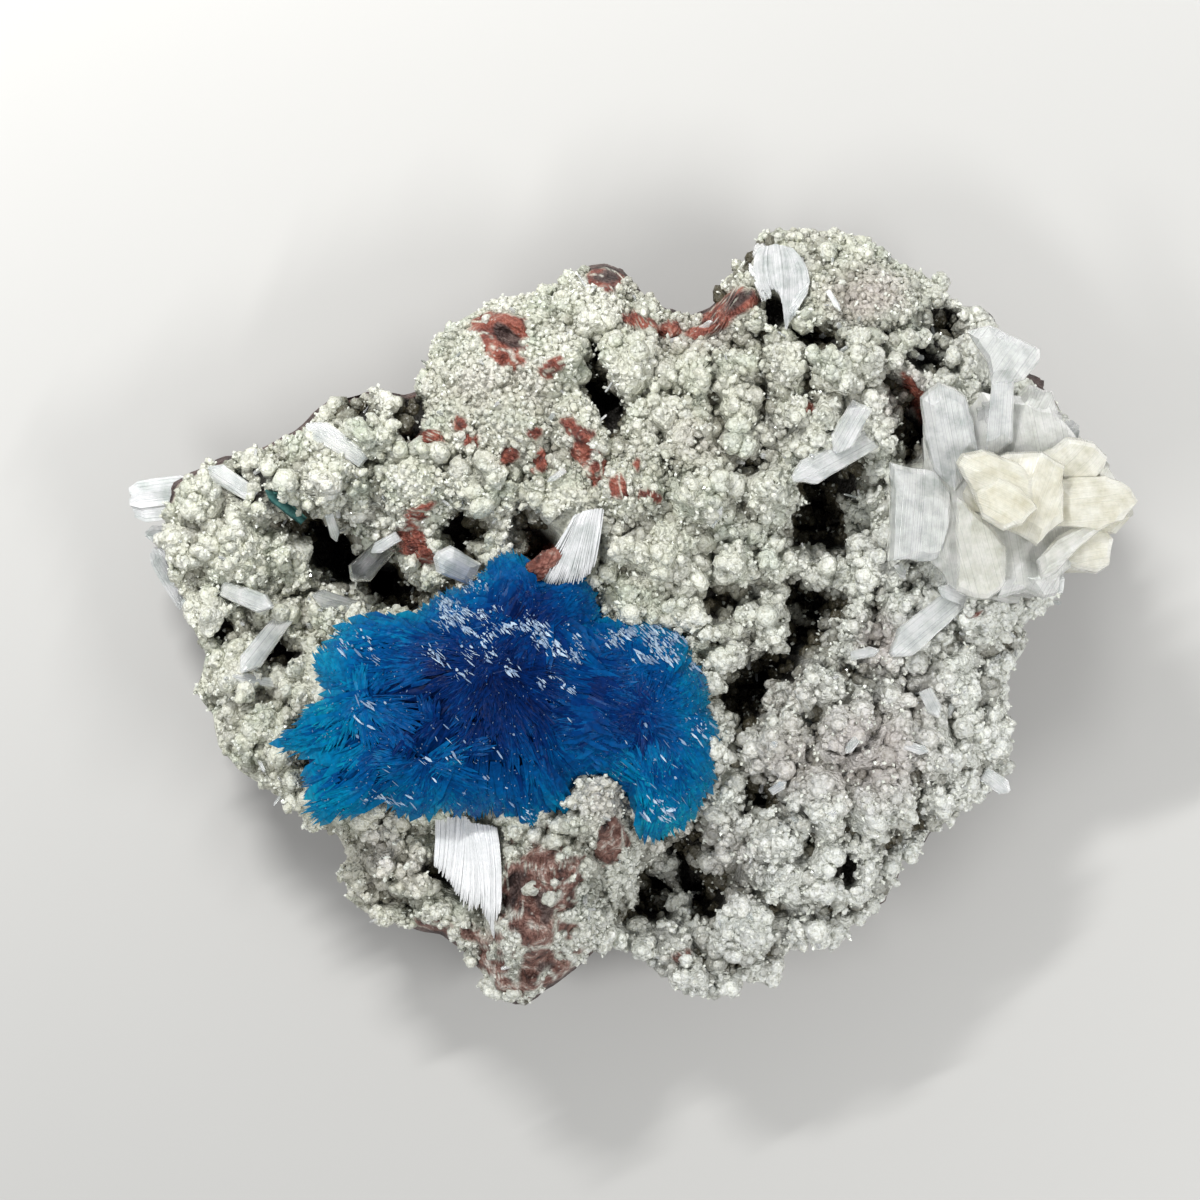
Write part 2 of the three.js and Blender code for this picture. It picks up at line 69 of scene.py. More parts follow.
# The specimen's driving dimensions
SPECIMEN_WIDTH = 132.0  # left crystal tip to right crystal tip
FACE_HEIGHT = 34.0  # mean height of the display face over the flat back
EDGE_HEIGHT = 15.0  # where the face turns into the side walls
VIEW_DISTANCE = 700.0  # from the eye to the mean face
LUMP_PITCH = 9.6  # from one lump of the crust to the next
LUMP_HEIGHT = 2.3
ROOT_DEPTH = 1.2  # of a single crystal in the crust

# The rock's mesh
ROCK_SECTORS = 720
FACE_RINGS = 108
WALL_RINGS = 19

# The wall from rim to back: how far down, its share of the edge height, and how far in it goes
WALL_DOWN = (0, 0.4, 0.8, 1)
WALL_HEIGHT = (1, 0.62, 0.22, 0)
WALL_IN = (0, -0.03, -0.07, -0.13)
BACK_RINGS = (0.93, 0.6, 0.25)  # on the flat back, as shares of the wall's foot

# The crust: how many random places are tried and thinned to one in each cube of the spacing, and how many
# small things sit on it
CLUMP_TRIES = 70000
CLUMP_SPACING = 2.75
GRAIN_TRIES = 30000
FINE_SPACING = 1.15
LOOSE_SPACING = 1.95
GRAINS_ON_CLUMPS = 2400
BALL_KINDS = 10
DRUSE_POINTS = 8500
SCATTERED_CRYSTALS = 220
SCATTERED_WITHIN = (62, 48)  # half sizes of the area that holds them

# Photograph pixels: the two crystal tips, the point the eye looks at, and the middle of the specimen
LEFT_TIP_PX = 128
RIGHT_TIP_PX = 1140
EYE_PX = (600, 600)
MIDDLE_PX = (628, 616)
PHOTO_PX = 1200
MM_PER_PX = SPECIMEN_WIDTH / (RIGHT_TIP_PX - LEFT_TIP_PX)

ROCK_CENTRE_PX = (620, 640)
ROCK_OUTLINE_PX = [
    (160, 505), (167, 481), (205, 466), (255, 450), (290, 430), (325, 401), (362, 388), (400, 391),
    (417, 386), (425, 362), (431, 340), (455, 320), (490, 300), (530, 290), (565, 280), (584, 265),
    (605, 262), (624, 270), (645, 293), (665, 308), (690, 313), (712, 303), (733, 280), (750, 252),
    (768, 235), (800, 230), (840, 230), (875, 240), (900, 262), (940, 281), (957, 300), (982, 308),
    (1003, 330), (1030, 372), (1055, 390), (1065, 412), (1082, 440), (1090, 470), (1075, 520),
    (1063, 560), (1060, 592), (1045, 610), (1022, 620), (1025, 650), (1010, 672), (1008, 700),
    (1015, 730), (1006, 765), (998, 790), (960, 816), (930, 832), (905, 862), (890, 892), (860, 922),
    (830, 938), (790, 952), (768, 976), (738, 986), (704, 1000), (680, 990), (650, 966), (622, 950),
    (600, 946), (575, 972), (545, 991), (520, 1008), (494, 998), (480, 975), (465, 956), (440, 936),
    (408, 930), (376, 920), (348, 900), (341, 880), (347, 852), (330, 832), (300, 815), (265, 792),
    (235, 772), (213, 748), (209, 715), (195, 690), (200, 655), (188, 630), (181, 600), (166, 560),
]

# Swells and sags of the face: where, spread and rise in mm
SWELLS = [
    ((520, 370), 11, 4), ((850, 330), 12, 7), ((240, 610), 13, -9), ((640, 520), 9, 4),
    ((470, 720), 15, -7), ((815, 580), 8, -7), ((890, 740), 12, 2), ((665, 885), 7, -11),
    ((550, 905), 7, 4), ((350, 555), 7, -7), ((605, 812), 4.5, 9), ((385, 880), 7, -2),
    ((1005, 505), 8, 5), ((330, 470), 7, 4),
]

# Vugs: where each opens, its half sizes across and along in mm, its turn in degrees and its depth in mm
VUGS = [
    ((604, 392), (1.2, 5.2), 14, 14), ((338, 550), (6.6, 3.4), -38, 13), ((388, 591), (4.4, 2.0), -25, 13),
    ((409, 415), (1.0, 3.4), 0, 9), ((357, 408), (2.0, 1.0), -15, 7), ((247, 482), (1.3, 1.3), 0, 6),
    ((460, 535), (1.6, 2.8), -30, 11), ((533, 543), (1.7, 3.4), 20, 13), ((835, 484), (3.8, 2.5), 10, 13),
    ((824, 527), (3.6, 3.4), -30, 13), ((911, 432), (1.3, 3.0), 0, 12), ((928, 362), (2.6, 0.9), -20, 7),
    ((947, 328), (1.7, 2.5), 15, 7), ((819, 338), (2.6, 1.2), -20, 8), ((814, 618), (3.4, 3.8), 20, 14),
    ((751, 694), (2.6, 4.6), -20, 14), ((782, 665), (2.8, 1.4), 0, 9), ((716, 606), (2.2, 1.6), -10, 8),
    ((692, 846), (3.0, 1.6), 10, 9), ((703, 892), (1.9, 4.0), 25, 10), ((656, 903), (2.0, 3.0), 0, 8),
    ((760, 800), (1.5, 1.6), 0, 8), ((849, 872), (1.0, 1.3), 0, 6), ((216, 632), (1.0, 1.0), 0, 5),
    ((277, 655), (1.6, 0.8), 10, 6), ((441, 876), (2.4, 0.9), -10, 6), ((776, 310), (1.2, 1.0), 0, 5),
]

# Bare rock: where, half sizes in mm, turn in degrees, and how much it stands over the face in mm
BARE_PATCHES = [
    ((502, 336), (3.9, 3.0), -25, 0.6), ((555, 367), (1.8, 1.2), 20, 0.8),
    ((427, 438), (1.9, 1.2), 15, 0.8), ((463, 424), (1.0, 1.0), 0, 0.8), ((470, 443), (1.2, 1.7), 20, 0.8),
    ((510, 456), (1.2, 0.9), 30, 0.8), ((535, 433), (1.5, 0.7), 10, 0.8),
    ((538, 462), (1.2, 1.8), -30, 0.8), ((579, 432), (2.4, 1.1), -30, 0.9),
    ((588, 456), (1.7, 3.4), 28, 1.0), ((617, 486), (1.4, 2.1), 0, 1.0), ((652, 497), (1.5, 1.0), -20, 0.9),
    ((637, 465), (0.6, 1.0), 0, 0.8), ((417, 512), (2.2, 0.9), 25, 0.8), ((408, 540), (1.7, 3.4), 20, 0.8),
    ((424, 556), (1.5, 1.0), 0, 0.8), ((548, 561), (1.8, 2.2), -30, 1.2),
    ((608, 276), (2.6, 2.2), -20, 0.7), ((640, 321), (2.6, 1.0), -20, 0.7),
    ((671, 327), (1.3, 1.2), 0, 0.7), ((725, 312), (4.6, 1.8), 32, 0.7), ((700, 330), (2.4, 1.0), 10, 0.7),
    ((612, 842), (2.2, 3.2), -18, 0.9), ((535, 895), (5.3, 7.4), -14, 1.0),
    ((526, 966), (7.2, 5.0), 0, 0.7), ((500, 938), (3.4, 2.6), -30, 0.7), ((808, 410), (0.6, 1.3), 0, 0.8),
    ((684, 962), (1.5, 0.9), 0, 0.6), ((452, 936), (5.4, 1.2), -18, 0.4),
    ((915, 396), (1.2, 2.6), 30, -0.6), ((970, 616), (1.3, 0.5), 20, 0.6),
]

# Bare rock is rust red above this pixel and brown below it, and more of it is islands of crust below this y
RUST_ABOVE_PX = (600, 700)
ISLANDS_BELOW = -37.0

# The flake of bare rock at the white fan: where and its lift, half sizes in mm, and turn
ROCK_FLAKE = ((543, 565, 5.6), (3.1, 1.35, 0.9), 38)

# Darker bare rock: where, half sizes in mm, and turn
DARK_ROCK = [
    ((506, 335), (3.0, 0.95), -38), ((606, 272), (1.6, 1.2), 0), ((398, 388), (2.0, 1.0), 0),
    ((545, 905), (1.2, 2.4), 10), ((515, 890), (1.0, 3.0), -10), ((545, 970), (1.2, 1.0), 0),
    ((735, 300), (2.4, 1.0), 32), ((492, 925), (1.4, 1.0), 0),
]

# Where the crust stops short of the outline: first and last place, clockwise
BARE_RIM = [
    ((160, 505), (420, 386)), ((584, 265), (650, 296)), ((655, 300), (760, 240)), ((1030, 372), (1060, 405)),
    ((600, 946), (500, 1000)), ((470, 962), (410, 930)),
]

# Sudden falls of the face: first and last place, drop in mm and how far it reaches in mm
LEDGES = [
    ((262, 478), (440, 585), 6.5, 8.0), ((606, 940), (640, 835), 5.0, 7.0),
    ((775, 478), (875, 440), 5.0, 6.0), ((700, 690), (790, 640), 4.0, 6.0),
]

# Smooth recesses: where, half sizes in mm and depth in mm
RECESSES = [
    ((355, 565), (8.5, 5.0), 5.0), ((820, 510), (6.0, 6.0), 3.5), ((815, 620), (5.5, 6.0), 4.0),
    ((752, 700), (4.5, 6.5), 4.0), ((680, 880), (7.5, 6.0), 4.0), ((470, 530), (4.0, 4.5), 3.0),
    ((240, 600), (5.0, 4.0), 1.5), ((503, 334), (1.6, 1.2), 1.6), ((905, 400), (3.0, 4.0), 3.0),
    ((700, 600), (4.0, 3.0), 2.5), ((770, 330), (4.0, 2.5), 2.0), ((760, 800), (4.5, 3.5), 2.5),
]

# Places of crystals that lie on the face, kept clear of balls of crust: where, half sizes in mm, and turn
CLEAR_PLACES = [
    ((468, 862), (4.6, 7.4), -14), ((573, 545), (4.6, 4.8), 0), ((780, 280), (3.4, 5.4), 8),
    ((445, 562), (2.6, 2.0), 0), ((264, 585), (1.0, 1.0), 0), ((336, 440), (4.2, 1.8), -30),
    ((835, 458), (5.6, 1.9), 24), ((925, 625), (5.4, 2.0), 38), ((265, 642), (1.6, 4.0), 35),
    ((922, 512), (4.4, 7.6), 0), ((952, 430), (4.4, 6.6), 12), ((1010, 520), (11.0, 10.0), 0),
    ((1002, 365), (3.6, 5.6), 0),
]

# White amygdules in the bare basalt: where and radius in mm
AMYGDULES = [
    ((520, 941), 1.0), ((523, 956), 0.9), ((543, 964), 1.2), ((480, 963), 1.5), ((509, 979), 1.2),
    ((518, 988), 0.9), ((560, 935), 0.8), ((500, 950), 0.8), ((538, 915), 0.6), ((512, 905), 0.6),
    ((550, 950), 0.9), ((495, 975), 1.0), ((535, 980), 0.8), ((565, 900), 0.7), ((505, 925), 0.6),
]

# Crust tinted brown or violet by the rock under it: where, half sizes in mm, and how strongly
TINTED_CRUST = [
    ((866, 297), (5.5, 3.5), 0.6), ((868, 752), (7.5, 6.0), 0.6), ((880, 645), (3.0, 4.0), 0.6),
    ((700, 440), (4.0, 3.0), 0.25), ((385, 870), (7.0, 6.0), 0.3), ((610, 800), (3.5, 3.5), 0.3),
    ((480, 400), (9.0, 6.0), 0.2), ((700, 330), (5.0, 3.0), 0.4), ((790, 760), (5.0, 5.0), 0.45),
    ((780, 690), (4.0, 5.0), 0.3), ((920, 700), (4.0, 4.0), 0.35), ((690, 845), (5.0, 4.0), 0.25),
    ((730, 860), (4.0, 6.0), 0.3), ((905, 400), (3.0, 3.5), 0.7),
]

# Fine, flat crust: where, half sizes in mm
FINE_GRAIN = [
    ((498, 335), (11.5, 6.0)), ((520, 415), (15.0, 6.0)), ((610, 485), (9.0, 4.5)), ((425, 500), (6.0, 5.5)),
    ((870, 290), (9.0, 5.0)), ((700, 318), (7.0, 3.5)), ((610, 835), (4.0, 6.0)), ((540, 925), (8.5, 10.0)),
    ((610, 290), (5.0, 4.0)), ((300, 440), (8.0, 3.5)), ((430, 940), (8.0, 3.0)),
]

# The rosette's fans: apex, heights of edge and crown, and outline
ROSETTE_FANS = [
    (
        (488, 664), 31.5, 45.5,
        [
            (271, 742), (298, 718), (317, 694), (313, 657), (329, 631), (349, 616), (377, 611), (409, 616),
            (424, 603), (441, 590), (467, 584), (505, 575), (560, 580), (605, 612), (632, 660), (640, 710),
            (626, 765), (594, 783), (582, 788), (573, 801), (578, 823), (547, 818), (534, 834), (521, 824),
            (492, 818), (467, 817), (444, 815), (428, 822), (390, 813), (371, 807), (352, 819), (316, 826),
            (298, 807), (301, 794), (294, 762),
        ],
    ),
    (
        (642, 712), 31.5, 44.0,
        [
            (548, 690), (560, 640), (596, 617), (626, 613), (649, 619), (674, 625), (690, 641), (692, 657),
            (706, 670), (712, 694), (709, 708), (722, 730), (722, 750), (719, 772), (712, 797), (696, 817),
            (687, 832), (661, 839), (645, 847), (637, 839), (635, 826), (630, 813), (626, 797), (610, 785),
            (575, 765),
        ],
    ),
    (
        (536, 612), 33.0, 42.5,
        [
            (470, 640), (462, 604), (473, 577), (486, 565), (495, 552), (515, 549), (531, 561), (540, 578),
            (562, 580), (588, 574), (596, 584), (601, 600), (604, 620), (590, 650), (520, 665),
        ],
    ),
]

# Smaller sprays on the rosette: centre, reach in mm, how many fans of laths, and how much lighter
ROSETTE_SPRAYS = [
    ((500, 652), 13.0, 26, 0.0), ((625, 676), 9.0, 20, 0.03), ((533, 602), 7.0, 14, 0.05),
    ((655, 785), 8.0, 22, 0.18), ((362, 700), 10.0, 18, 0.1), ((430, 760), 9.0, 14, 0.08),
]

# Where the rosette is darkest, and how far its dark middle reaches in mm
DARK_MIDDLE = ((520, 690), (24.0, 24.0))

# Patches of painted white glints on the rosette: where, half sizes in pixels and how many
GLINT_PATCHES = [
    ((448, 614), (13, 9), 70), ((443, 600), (8, 6), 26), ((474, 585), (11, 7), 36),
    ((456, 604), (4, 8), 16), ((463, 608), (4, 4), 12), ((477, 613), (6, 5), 18), ((492, 603), (5, 9), 22),
    ((503, 624), (6, 6), 18), ((488, 626), (9, 6), 14), ((465, 628), (5, 4), 10), ((480, 634), (4, 6), 10),
    ((518, 622), (4, 4), 12), ((528, 616), (6, 10), 34), ((538, 632), (7, 12), 46),
    ((552, 646), (6, 8), 26), ((574, 650), (9, 11), 60), ((569, 632), (4, 8), 14), ((585, 662), (6, 5), 16),
    ((612, 636), (11, 6), 50), ((625, 628), (8, 4), 26), ((646, 629), (14, 6), 44),
    ((656, 641), (12, 7), 40), ((676, 634), (8, 7), 26), ((667, 654), (14, 6), 50),
    ((640, 654), (9, 6), 24), ((690, 662), (6, 5), 12), ((430, 648), (6, 6), 16), ((466, 650), (5, 5), 12),
    ((488, 652), (9, 7), 16), ((507, 665), (5, 6), 14), ((463, 670), (8, 4), 10), ((438, 658), (10, 5), 8),
    ((566, 686), (6, 3), 10), ((553, 676), (5, 3), 6), ((539, 680), (4, 4), 7), ((370, 652), (9, 12), 14),
    ((382, 800), (20, 11), 60), ((526, 812), (9, 8), 22), ((661, 808), (14, 14), 40),
    ((698, 722), (12, 14), 24), ((345, 640), (16, 10), 16), ((360, 700), (24, 30), 16),
    ((455, 760), (60, 40), 30), ((630, 760), (60, 40), 30),
]
# Painted highlights: the sparkles, like the glint patches, are laths coloured white
SPARKLES = 1100  # single points of light all over the rosette
GLINT_HEADING = -42.0  # degrees from the photograph's right

# How many sprays of laths each fan has and how much lighter they are, and how many blades edge it in a tier
FAN_SPRAYS = ((235, 0.0), (125, 0.03), (45, 0.0))
FAN_TEETH = (74, 50, 28)
SPRAY_LATHS = 29
SPRAY_LEVEL = 40.0  # height at which the places of sprays and glints are read

# The fans' pleated cores: how flat the dome is, its rings' and the cone's shares out, and the cone's foot
CORE_SIDES = 120
DOME_POWER = 0.62
CORE_DOME = np.array([0.12, 0.25, 0.38, 0.5, 0.61, 0.71, 0.8, 0.87, 0.92])
CORE_CONE = np.array([0.9, 0.6, 0.3])
CORE_FOOT = 22.0

# Colours of the rosette's laths from root to tip, and of the small fan, whose dull dark teal is partly
# painted shade
DEEP_BLUE = [(0.0, "#000c36"), (0.3, "#002a66"), (0.55, "#005492"), (0.8, "#0080aa"), (1.0, "#0ca4b6")]
DULL_TEAL_AND_SHADE = [(0.0, "#16302e"), (1.0, "#5c8f88")]

# Crystals: node, root and tip as pixels with a height over the face, width and thickness, then the share of
# the width at the foot, of the length at the shoulder and of the width at the point. The fibrous sheets
# have only their node here.
CRYSTALS = [
    ("stilbite_corner_sheaf", (198, 494, -5), (127, 503, 4), 5.6, 3.4, 0.8, 0.8, 0.6),
    ("stilbite_corner_block", (180, 532, -4), (146, 534, 1), 2.2, 2.2, 0.8, 0.8, 0.8),
    ("stilbite_corner_blade", (190, 604, -4), (155, 545, 0), 3.4, 1.8, 0.8, 0.8, 0.5),
    ("stilbite_rim_blade", (253, 496, 0), (209, 467, 4.5), 2.6, 1.4, 0.8, 0.8, 0.35),
    ("stilbite_ledge_blade", (364, 459, 0.5), (308, 424, 3.5), 3.1, 1.8, 0.8, 0.8, 0.35),
    ("stilbite_striated_blade", (222, 588, 0.5), (271, 607, 4), 2.6, 1.4, 0.8, 0.8, 0.35),
    ("stilbite_slanted_blade", (287, 614, 0.5), (242, 672, 5), 2.9, 1.4, 0.8, 0.8, 0.4),
    ("stilbite_needle", (278, 684, 0.5), (234, 676, 4), 1.4, 1.1, 0.8, 0.8, 0.6),
    ("stilbite_vug_blade", (368, 612, -0.5), (312, 596, 2.5), 2.4, 1.4, 0.8, 0.8, 0.35),
    ("stilbite_vug_tablet", (386, 545, -1.5), (353, 580, 1.5), 3.4, 1.6, 0.8, 0.8, 0.5),
    ("stilbite_pale_tablet", (474, 574, 0.5), (438, 556, 4.5), 3.9, 2.2, 0.8, 0.8, 0.6),
    ("stilbite_white_fan",),
    ("stilbite_top_plate",),
    ("stilbite_shelf_blade", (872, 438, 1), (794, 480, 5), 3.6, 2.0, 0.8, 0.8, 0.6),
    ("stilbite_lower_blade", (960, 596, 1.5), (892, 653, 6), 3.9, 2.1, 0.8, 0.8, 0.5),
    ("stilbite_white_plate",),
    ("stilbite_edge_block", (1034, 590, -2), (1063, 577, 4), 3.6, 3.0, 0.8, 0.8, 0.8),
]
# How clear a crystal is, where that isn't 1
CLEARNESS = {
    "stilbite_white_plate": 0.1, "stilbite_top_plate": 0.5, "stilbite_white_fan": 0.3,
    "stilbite_vug_tablet": 1.9, "stilbite_vug_blade": 1.5, "stilbite_pale_tablet": 0.7,
    "stilbite_corner_sheaf": 0.5, "stilbite_corner_block": 0.6,
}
# Crystals that are sheaves of blades
SHEAVES = ("stilbite_corner_sheaf", "stilbite_corner_blade")
SMALL_CAVANSITE = ("cavansite_small_fan", (303, 521, -1), (267, 491, 1.5), 1.6, 1.0, 0.8, 0.8, 0.5)

# Crystals that are fibrous sheets: first edge, bend line and far edge as pixels, their heights over the
# face in mm, the number of strands and the thickness in mm
SHEETS = {
    "stilbite_white_plate": (
        [(436, 819), (465, 817), (470, 824), (496, 828)],
        [(437, 845), (462, 862), (484, 870), (502, 866)],
        [
            (434, 865), (441, 873), (449, 880), (457, 893), (464, 903), (472, 908), (481, 906), (488, 917),
            (493, 930), (500, 908),
        ],
        (2.2, 3.6, 3.0), 90, 0.6,
    ),
    "stilbite_white_fan": (
        [(574, 517), (588, 511), (603, 510)],
        [(560, 545), (578, 545), (599, 543)],
        [(531, 581), (545, 586), (560, 584), (575, 581), (586, 574), (594, 564)],
        (2.0, 5.0, 5.5), 84, 0.7,
    ),
    "stilbite_top_plate": (
        [(760, 250), (776, 246), (793, 251)],
        [(749, 266), (778, 272), (811, 270)],
        [(763, 299), (769, 292), (776, 290), (782, 297), (785, 323), (794, 311), (807, 288)],
        (4.0, 3.2, 2.0), 44, 0.5,
    ),
}

# The large cluster's foot, and its low bundles: root and tip with heights over the flat back, width and
# thickness, the shares at foot, shoulder and point, and how cream the colour is
CLUSTER_ROOT = (1012, 518, 33)
CLUSTER_ROOT_SUNK = 2.0
CLUSTER_ROOT_HALF = (10.25, 9.02, 4.51)
CLUSTER = [
    ((1022, 512, 32), (1136, 500, 39), 7.6, 5.0, 0.8, 0.68, 0.4, 0.9),
    ((1035, 506, 33), (1106, 455, 37), 5.2, 4.0, 0.8, 0.8, 0.6, 0.6),
    ((1020, 545, 33), (1106, 545, 36), 6.6, 4.0, 0.8, 0.8, 0.6, 0.8),
    ((1010, 494, 33), (1046, 404, 36), 6.6, 4.2, 0.7, 0.8, 0.7, 0.2),
    ((1036, 484, 33), (1077, 420, 34), 3.0, 2.6, 0.8, 0.8, 0.5, 0.1),
    ((1018, 578, 32), (966, 560, 38), 7.4, 4.0, 0.8, 0.8, 0.8, 0.3),
    ((1030, 545, 33), (1022, 598, 35), 6.0, 3.0, 0.9, 0.8, 0.5, 0.3),
    ((1020, 500, 33), (975, 480, 42), 7.0, 5.0, 0.9, 0.8, 0.6, 0.9),
    ((1000, 520, 33), (930, 470, 38), 6.0, 3.5, 0.9, 0.8, 0.6, 0.2),
    ((1010, 480, 33), (985, 400, 38), 6.0, 3.5, 0.9, 0.8, 0.6, 0.1),
    ((1030, 560, 32), (1050, 585, 35), 6.0, 3.5, 0.9, 0.8, 0.6, 0.1),
]

# Rings of a tablet from top to bottom: share of the outline, height as a share of the thickness, and how
# much of the top facet's shift it has
TABLET_RINGS = [(0.6, 0.5, 1.0), (0.93, 0.3, 0.2), (1.0, 0.1, 0.0), (1.0, -0.3, 0.0), (0.88, -0.5, 0.0)]
TABLET_SIDE_PARTS = 5

# The cluster's tablets: outline as pixels, height over the flat back, rise towards +X and +Y, thickness,
# direction of the lines in degrees, and how cream its colour is
CLUSTER_TABLETS = [
    ([(930, 440), (985, 395), (1050, 405), (1088, 455), (1098, 530), (1050, 584), (960, 586), (925, 545)],
     39.6, (-0.03, -0.05), 5.0, 100, 0.3),
    ([(921, 400), (938, 384), (965, 398), (973, 425), (979, 456), (955, 492), (934, 470), (924, 440)],
     41.5, (0.06, 0.12), 4.2, 100, 0.0),
    ([(892, 464), (935, 474), (950, 492), (950, 516), (942, 545), (936, 561), (892, 560), (894, 505)],
     40.5, (-0.06, 0.1), 4.0, 86, 0.05),
    ([(992, 384), (1014, 381), (1012, 442), (1000, 452), (985, 456), (988, 420)],
     41.5, (0.05, 0.1), 3.6, 86, 0.0),
    ([(966, 331), (990, 326), (1020, 339), (1039, 348), (1038, 362), (1024, 379), (992, 385), (987, 360)],
     42.0, (0.12, 0.0), 3.8, 55, 0.05),
    ([(1016, 402), (1030, 386), (1054, 392), (1061, 415), (1077, 438), (1045, 452), (1018, 446)],
     37.5, (-0.1, 0.05), 4.0, 60, 0.25),
    ([(962, 468), (967, 459), (988, 455), (1014, 462), (1040, 478), (1042, 506), (1012, 524), (984, 512),
      (972, 490)],
     46.0, (-0.12, 0.2), 4.4, 155, 1.0),
    ([(976, 492), (998, 474), (1021, 487), (1037, 506), (1022, 520), (1004, 526), (984, 513)],
     47.2, (0.05, -0.22), 3.2, 150, 1.0),
    ([(1000, 458), (1042, 457), (1063, 470), (1063, 522), (1036, 546), (1008, 530)],
     44.8, (0.08, 0.16), 4.6, 70, 0.9),
    ([(1058, 482), (1108, 478), (1133, 490), (1139, 503), (1127, 520), (1100, 530), (1056, 527)],
     42.2, (-0.08, 0.14), 4.6, 5, 0.9),
    ([(1045, 457), (1070, 443), (1096, 447), (1108, 460), (1104, 471), (1094, 480), (1058, 486)],
     40.8, (-0.05, 0.25), 4.0, 45, 0.8),
    ([(1098, 470), (1109, 468), (1117, 481), (1104, 486)], 39.8, (0.0, 0.2), 2.4, 60, 0.5),
    ([(1058, 556), (1062, 538), (1090, 524), (1107, 530), (1113, 539), (1110, 562), (1099, 569),
      (1080, 566)],
     39.6, (-0.05, -0.16), 4.0, 10, 0.8),
    ([(1040, 556), (1058, 534), (1098, 514), (1108, 521), (1078, 546), (1058, 568), (1044, 574)],
     42.0, (-0.04, -0.3), 3.0, 33, 0.35),
    ([(1000, 545), (1040, 548), (1061, 562), (1058, 588), (1046, 592), (1028, 584), (1000, 592)],
     39.2, (-0.05, -0.25), 4.4, 60, 0.15),
    ([(958, 498), (976, 511), (992, 526), (1006, 546), (1004, 578), (988, 596), (956, 588), (958, 558),
      (956, 522)],
     42.2, (0.1, -0.12), 4.2, 105, 0.5),
]

# The studio's lights: name, place in metres, diameter in metres and power in watts
LIGHTS = [
    ("key", (-0.22, 0.45, 0.6), 0.2, 31.0),
    ("fill", (0.45, -0.2, 0.6), 0.4, 15.5),
    ("front", (-0.4, -0.25, 0.75), 0.4, 5.5),
]
WORLD_STRENGTH = 0.36
FLOOR_HALF = 1500.0
SENSOR_WIDTH = 36.0

# Small white crystals standing in the crust: root and tip as pixels with a height over the face, and width
SMALL_CRYSTALS = [
    ((711, 527, 1.0), (722, 507, 3.5), 0.9), ((828, 291, 1.0), (840, 311, 2.5), 0.8),
    ((771, 792, 1.0), (785, 783, 3.0), 1.2), ((950, 696, 1.0), (967, 687, 3.0), 1.2),
    ((769, 747, 1.0), (777, 743, 2.5), 0.9), ((851, 656, 1.0), (878, 650, 3.0), 1.4),
    ((984, 774, 0.5), (1009, 791, 9.5), 2.2), ((862, 405, 1.0), (836, 452, 3.0), 3.2),
    ((770, 262, 1.5), (756, 247, 3.0), 2.2), ((398, 536, -1.0), (372, 552, 1.0), 1.6),
    ((329, 515, 1.0), (337, 540, 0.0), 1.3), ((925, 690, 1.0), (938, 716, 3.5), 2.0),
    ((895, 560, 1.0), (905, 578, 3.0), 1.2), ((968, 600, 1.0), (940, 588, 3.5), 2.0),
    ((905, 745, 1.0), (928, 752, 3.0), 1.3), ((860, 735, 1.0), (846, 752, 3.0), 1.2),
    ((820, 820, 1.0), (836, 812, 3.0), 1.0), ((740, 905, 1.0), (752, 920, 2.5), 1.1),
    ((565, 470, 1.0), (548, 482, 2.5), 0.8), ((700, 330, 1.0), (712, 322, 2.0), 0.9),
    ((765, 299, 1.5), (750, 264, 4.5), 1.1), ((787, 320, 1.5), (808, 284, 4.5), 1.1),
]


# Places on the specimen


def spot(px, z):
    """Photograph pixels at heights z, as points: a straight view, in which nearer things look larger."""
    px = np.asarray(px, float)
    z = np.broadcast_to(np.asarray(z, float), px.shape[:-1])
    scale = MM_PER_PX * (1 - (z - FACE_HEIGHT) / VIEW_DISTANCE)
    x = (px[..., 0] - EYE_PX[0]) * scale + (EYE_PX[0] - MIDDLE_PX[0]) * MM_PER_PX
    y = (EYE_PX[1] - px[..., 1]) * scale + (MIDDLE_PX[1] - EYE_PX[1]) * MM_PER_PX
    return np.stack([x, y, z], -1)


def hashed(value):
    """A repeatable number from 0 to 1 for any value: the fraction of a large sine."""
    value = np.sin(value) * HASH_SIZE
    return value - np.floor(value)


def chance(n, k):
    """A repeatable number from 0 to 1 for counters n and k."""
    return hashed(n * HASH_STEPS[0] + k * HASH_STEPS[1])


def outline_radius(points, centre):
    """A closed outline as its distance from the centre at any angle, straight between its points."""
    away = points[:, :2] - centre[:2]
    angles = np.arctan2(away[:, 1], away[:, 0])
    radii = np.hypot(away[:, 0], away[:, 1])
    order = np.argsort(angles)
    return lambda angle: np.interp(angle, angles[order], radii[order], period=TURN)


ROCK_CENTRE = spot(ROCK_CENTRE_PX, EDGE_HEIGHT)
rock_radius = outline_radius(spot(ROCK_OUTLINE_PX, EDGE_HEIGHT), ROCK_CENTRE)


def share_out(x, y):
    """How far out a point lies: 0 at the rock's centre and 1 on its outline."""
    dx, dy = x - ROCK_CENTRE[0], y - ROCK_CENTRE[1]
    return np.hypot(dx, dy) / rock_radius(np.arctan2(dy, dx))


def face_height(x, y):
    """The face without its lumps: edge height plus a plateau sqrt(1 - out^6), with bell-shaped swells."""
    plateau = np.sqrt(1 - np.minimum(share_out(x, y), 1) ** 6)
    z = EDGE_HEIGHT + (FACE_HEIGHT - EDGE_HEIGHT) * plateau
    for at, spread, rise in SWELLS:
        middle = spot(at, FACE_HEIGHT)
        far = np.hypot(x - middle[0], y - middle[1]) / spread
        z = z + rise * np.exp(-far * far / 2) * plateau
    return z


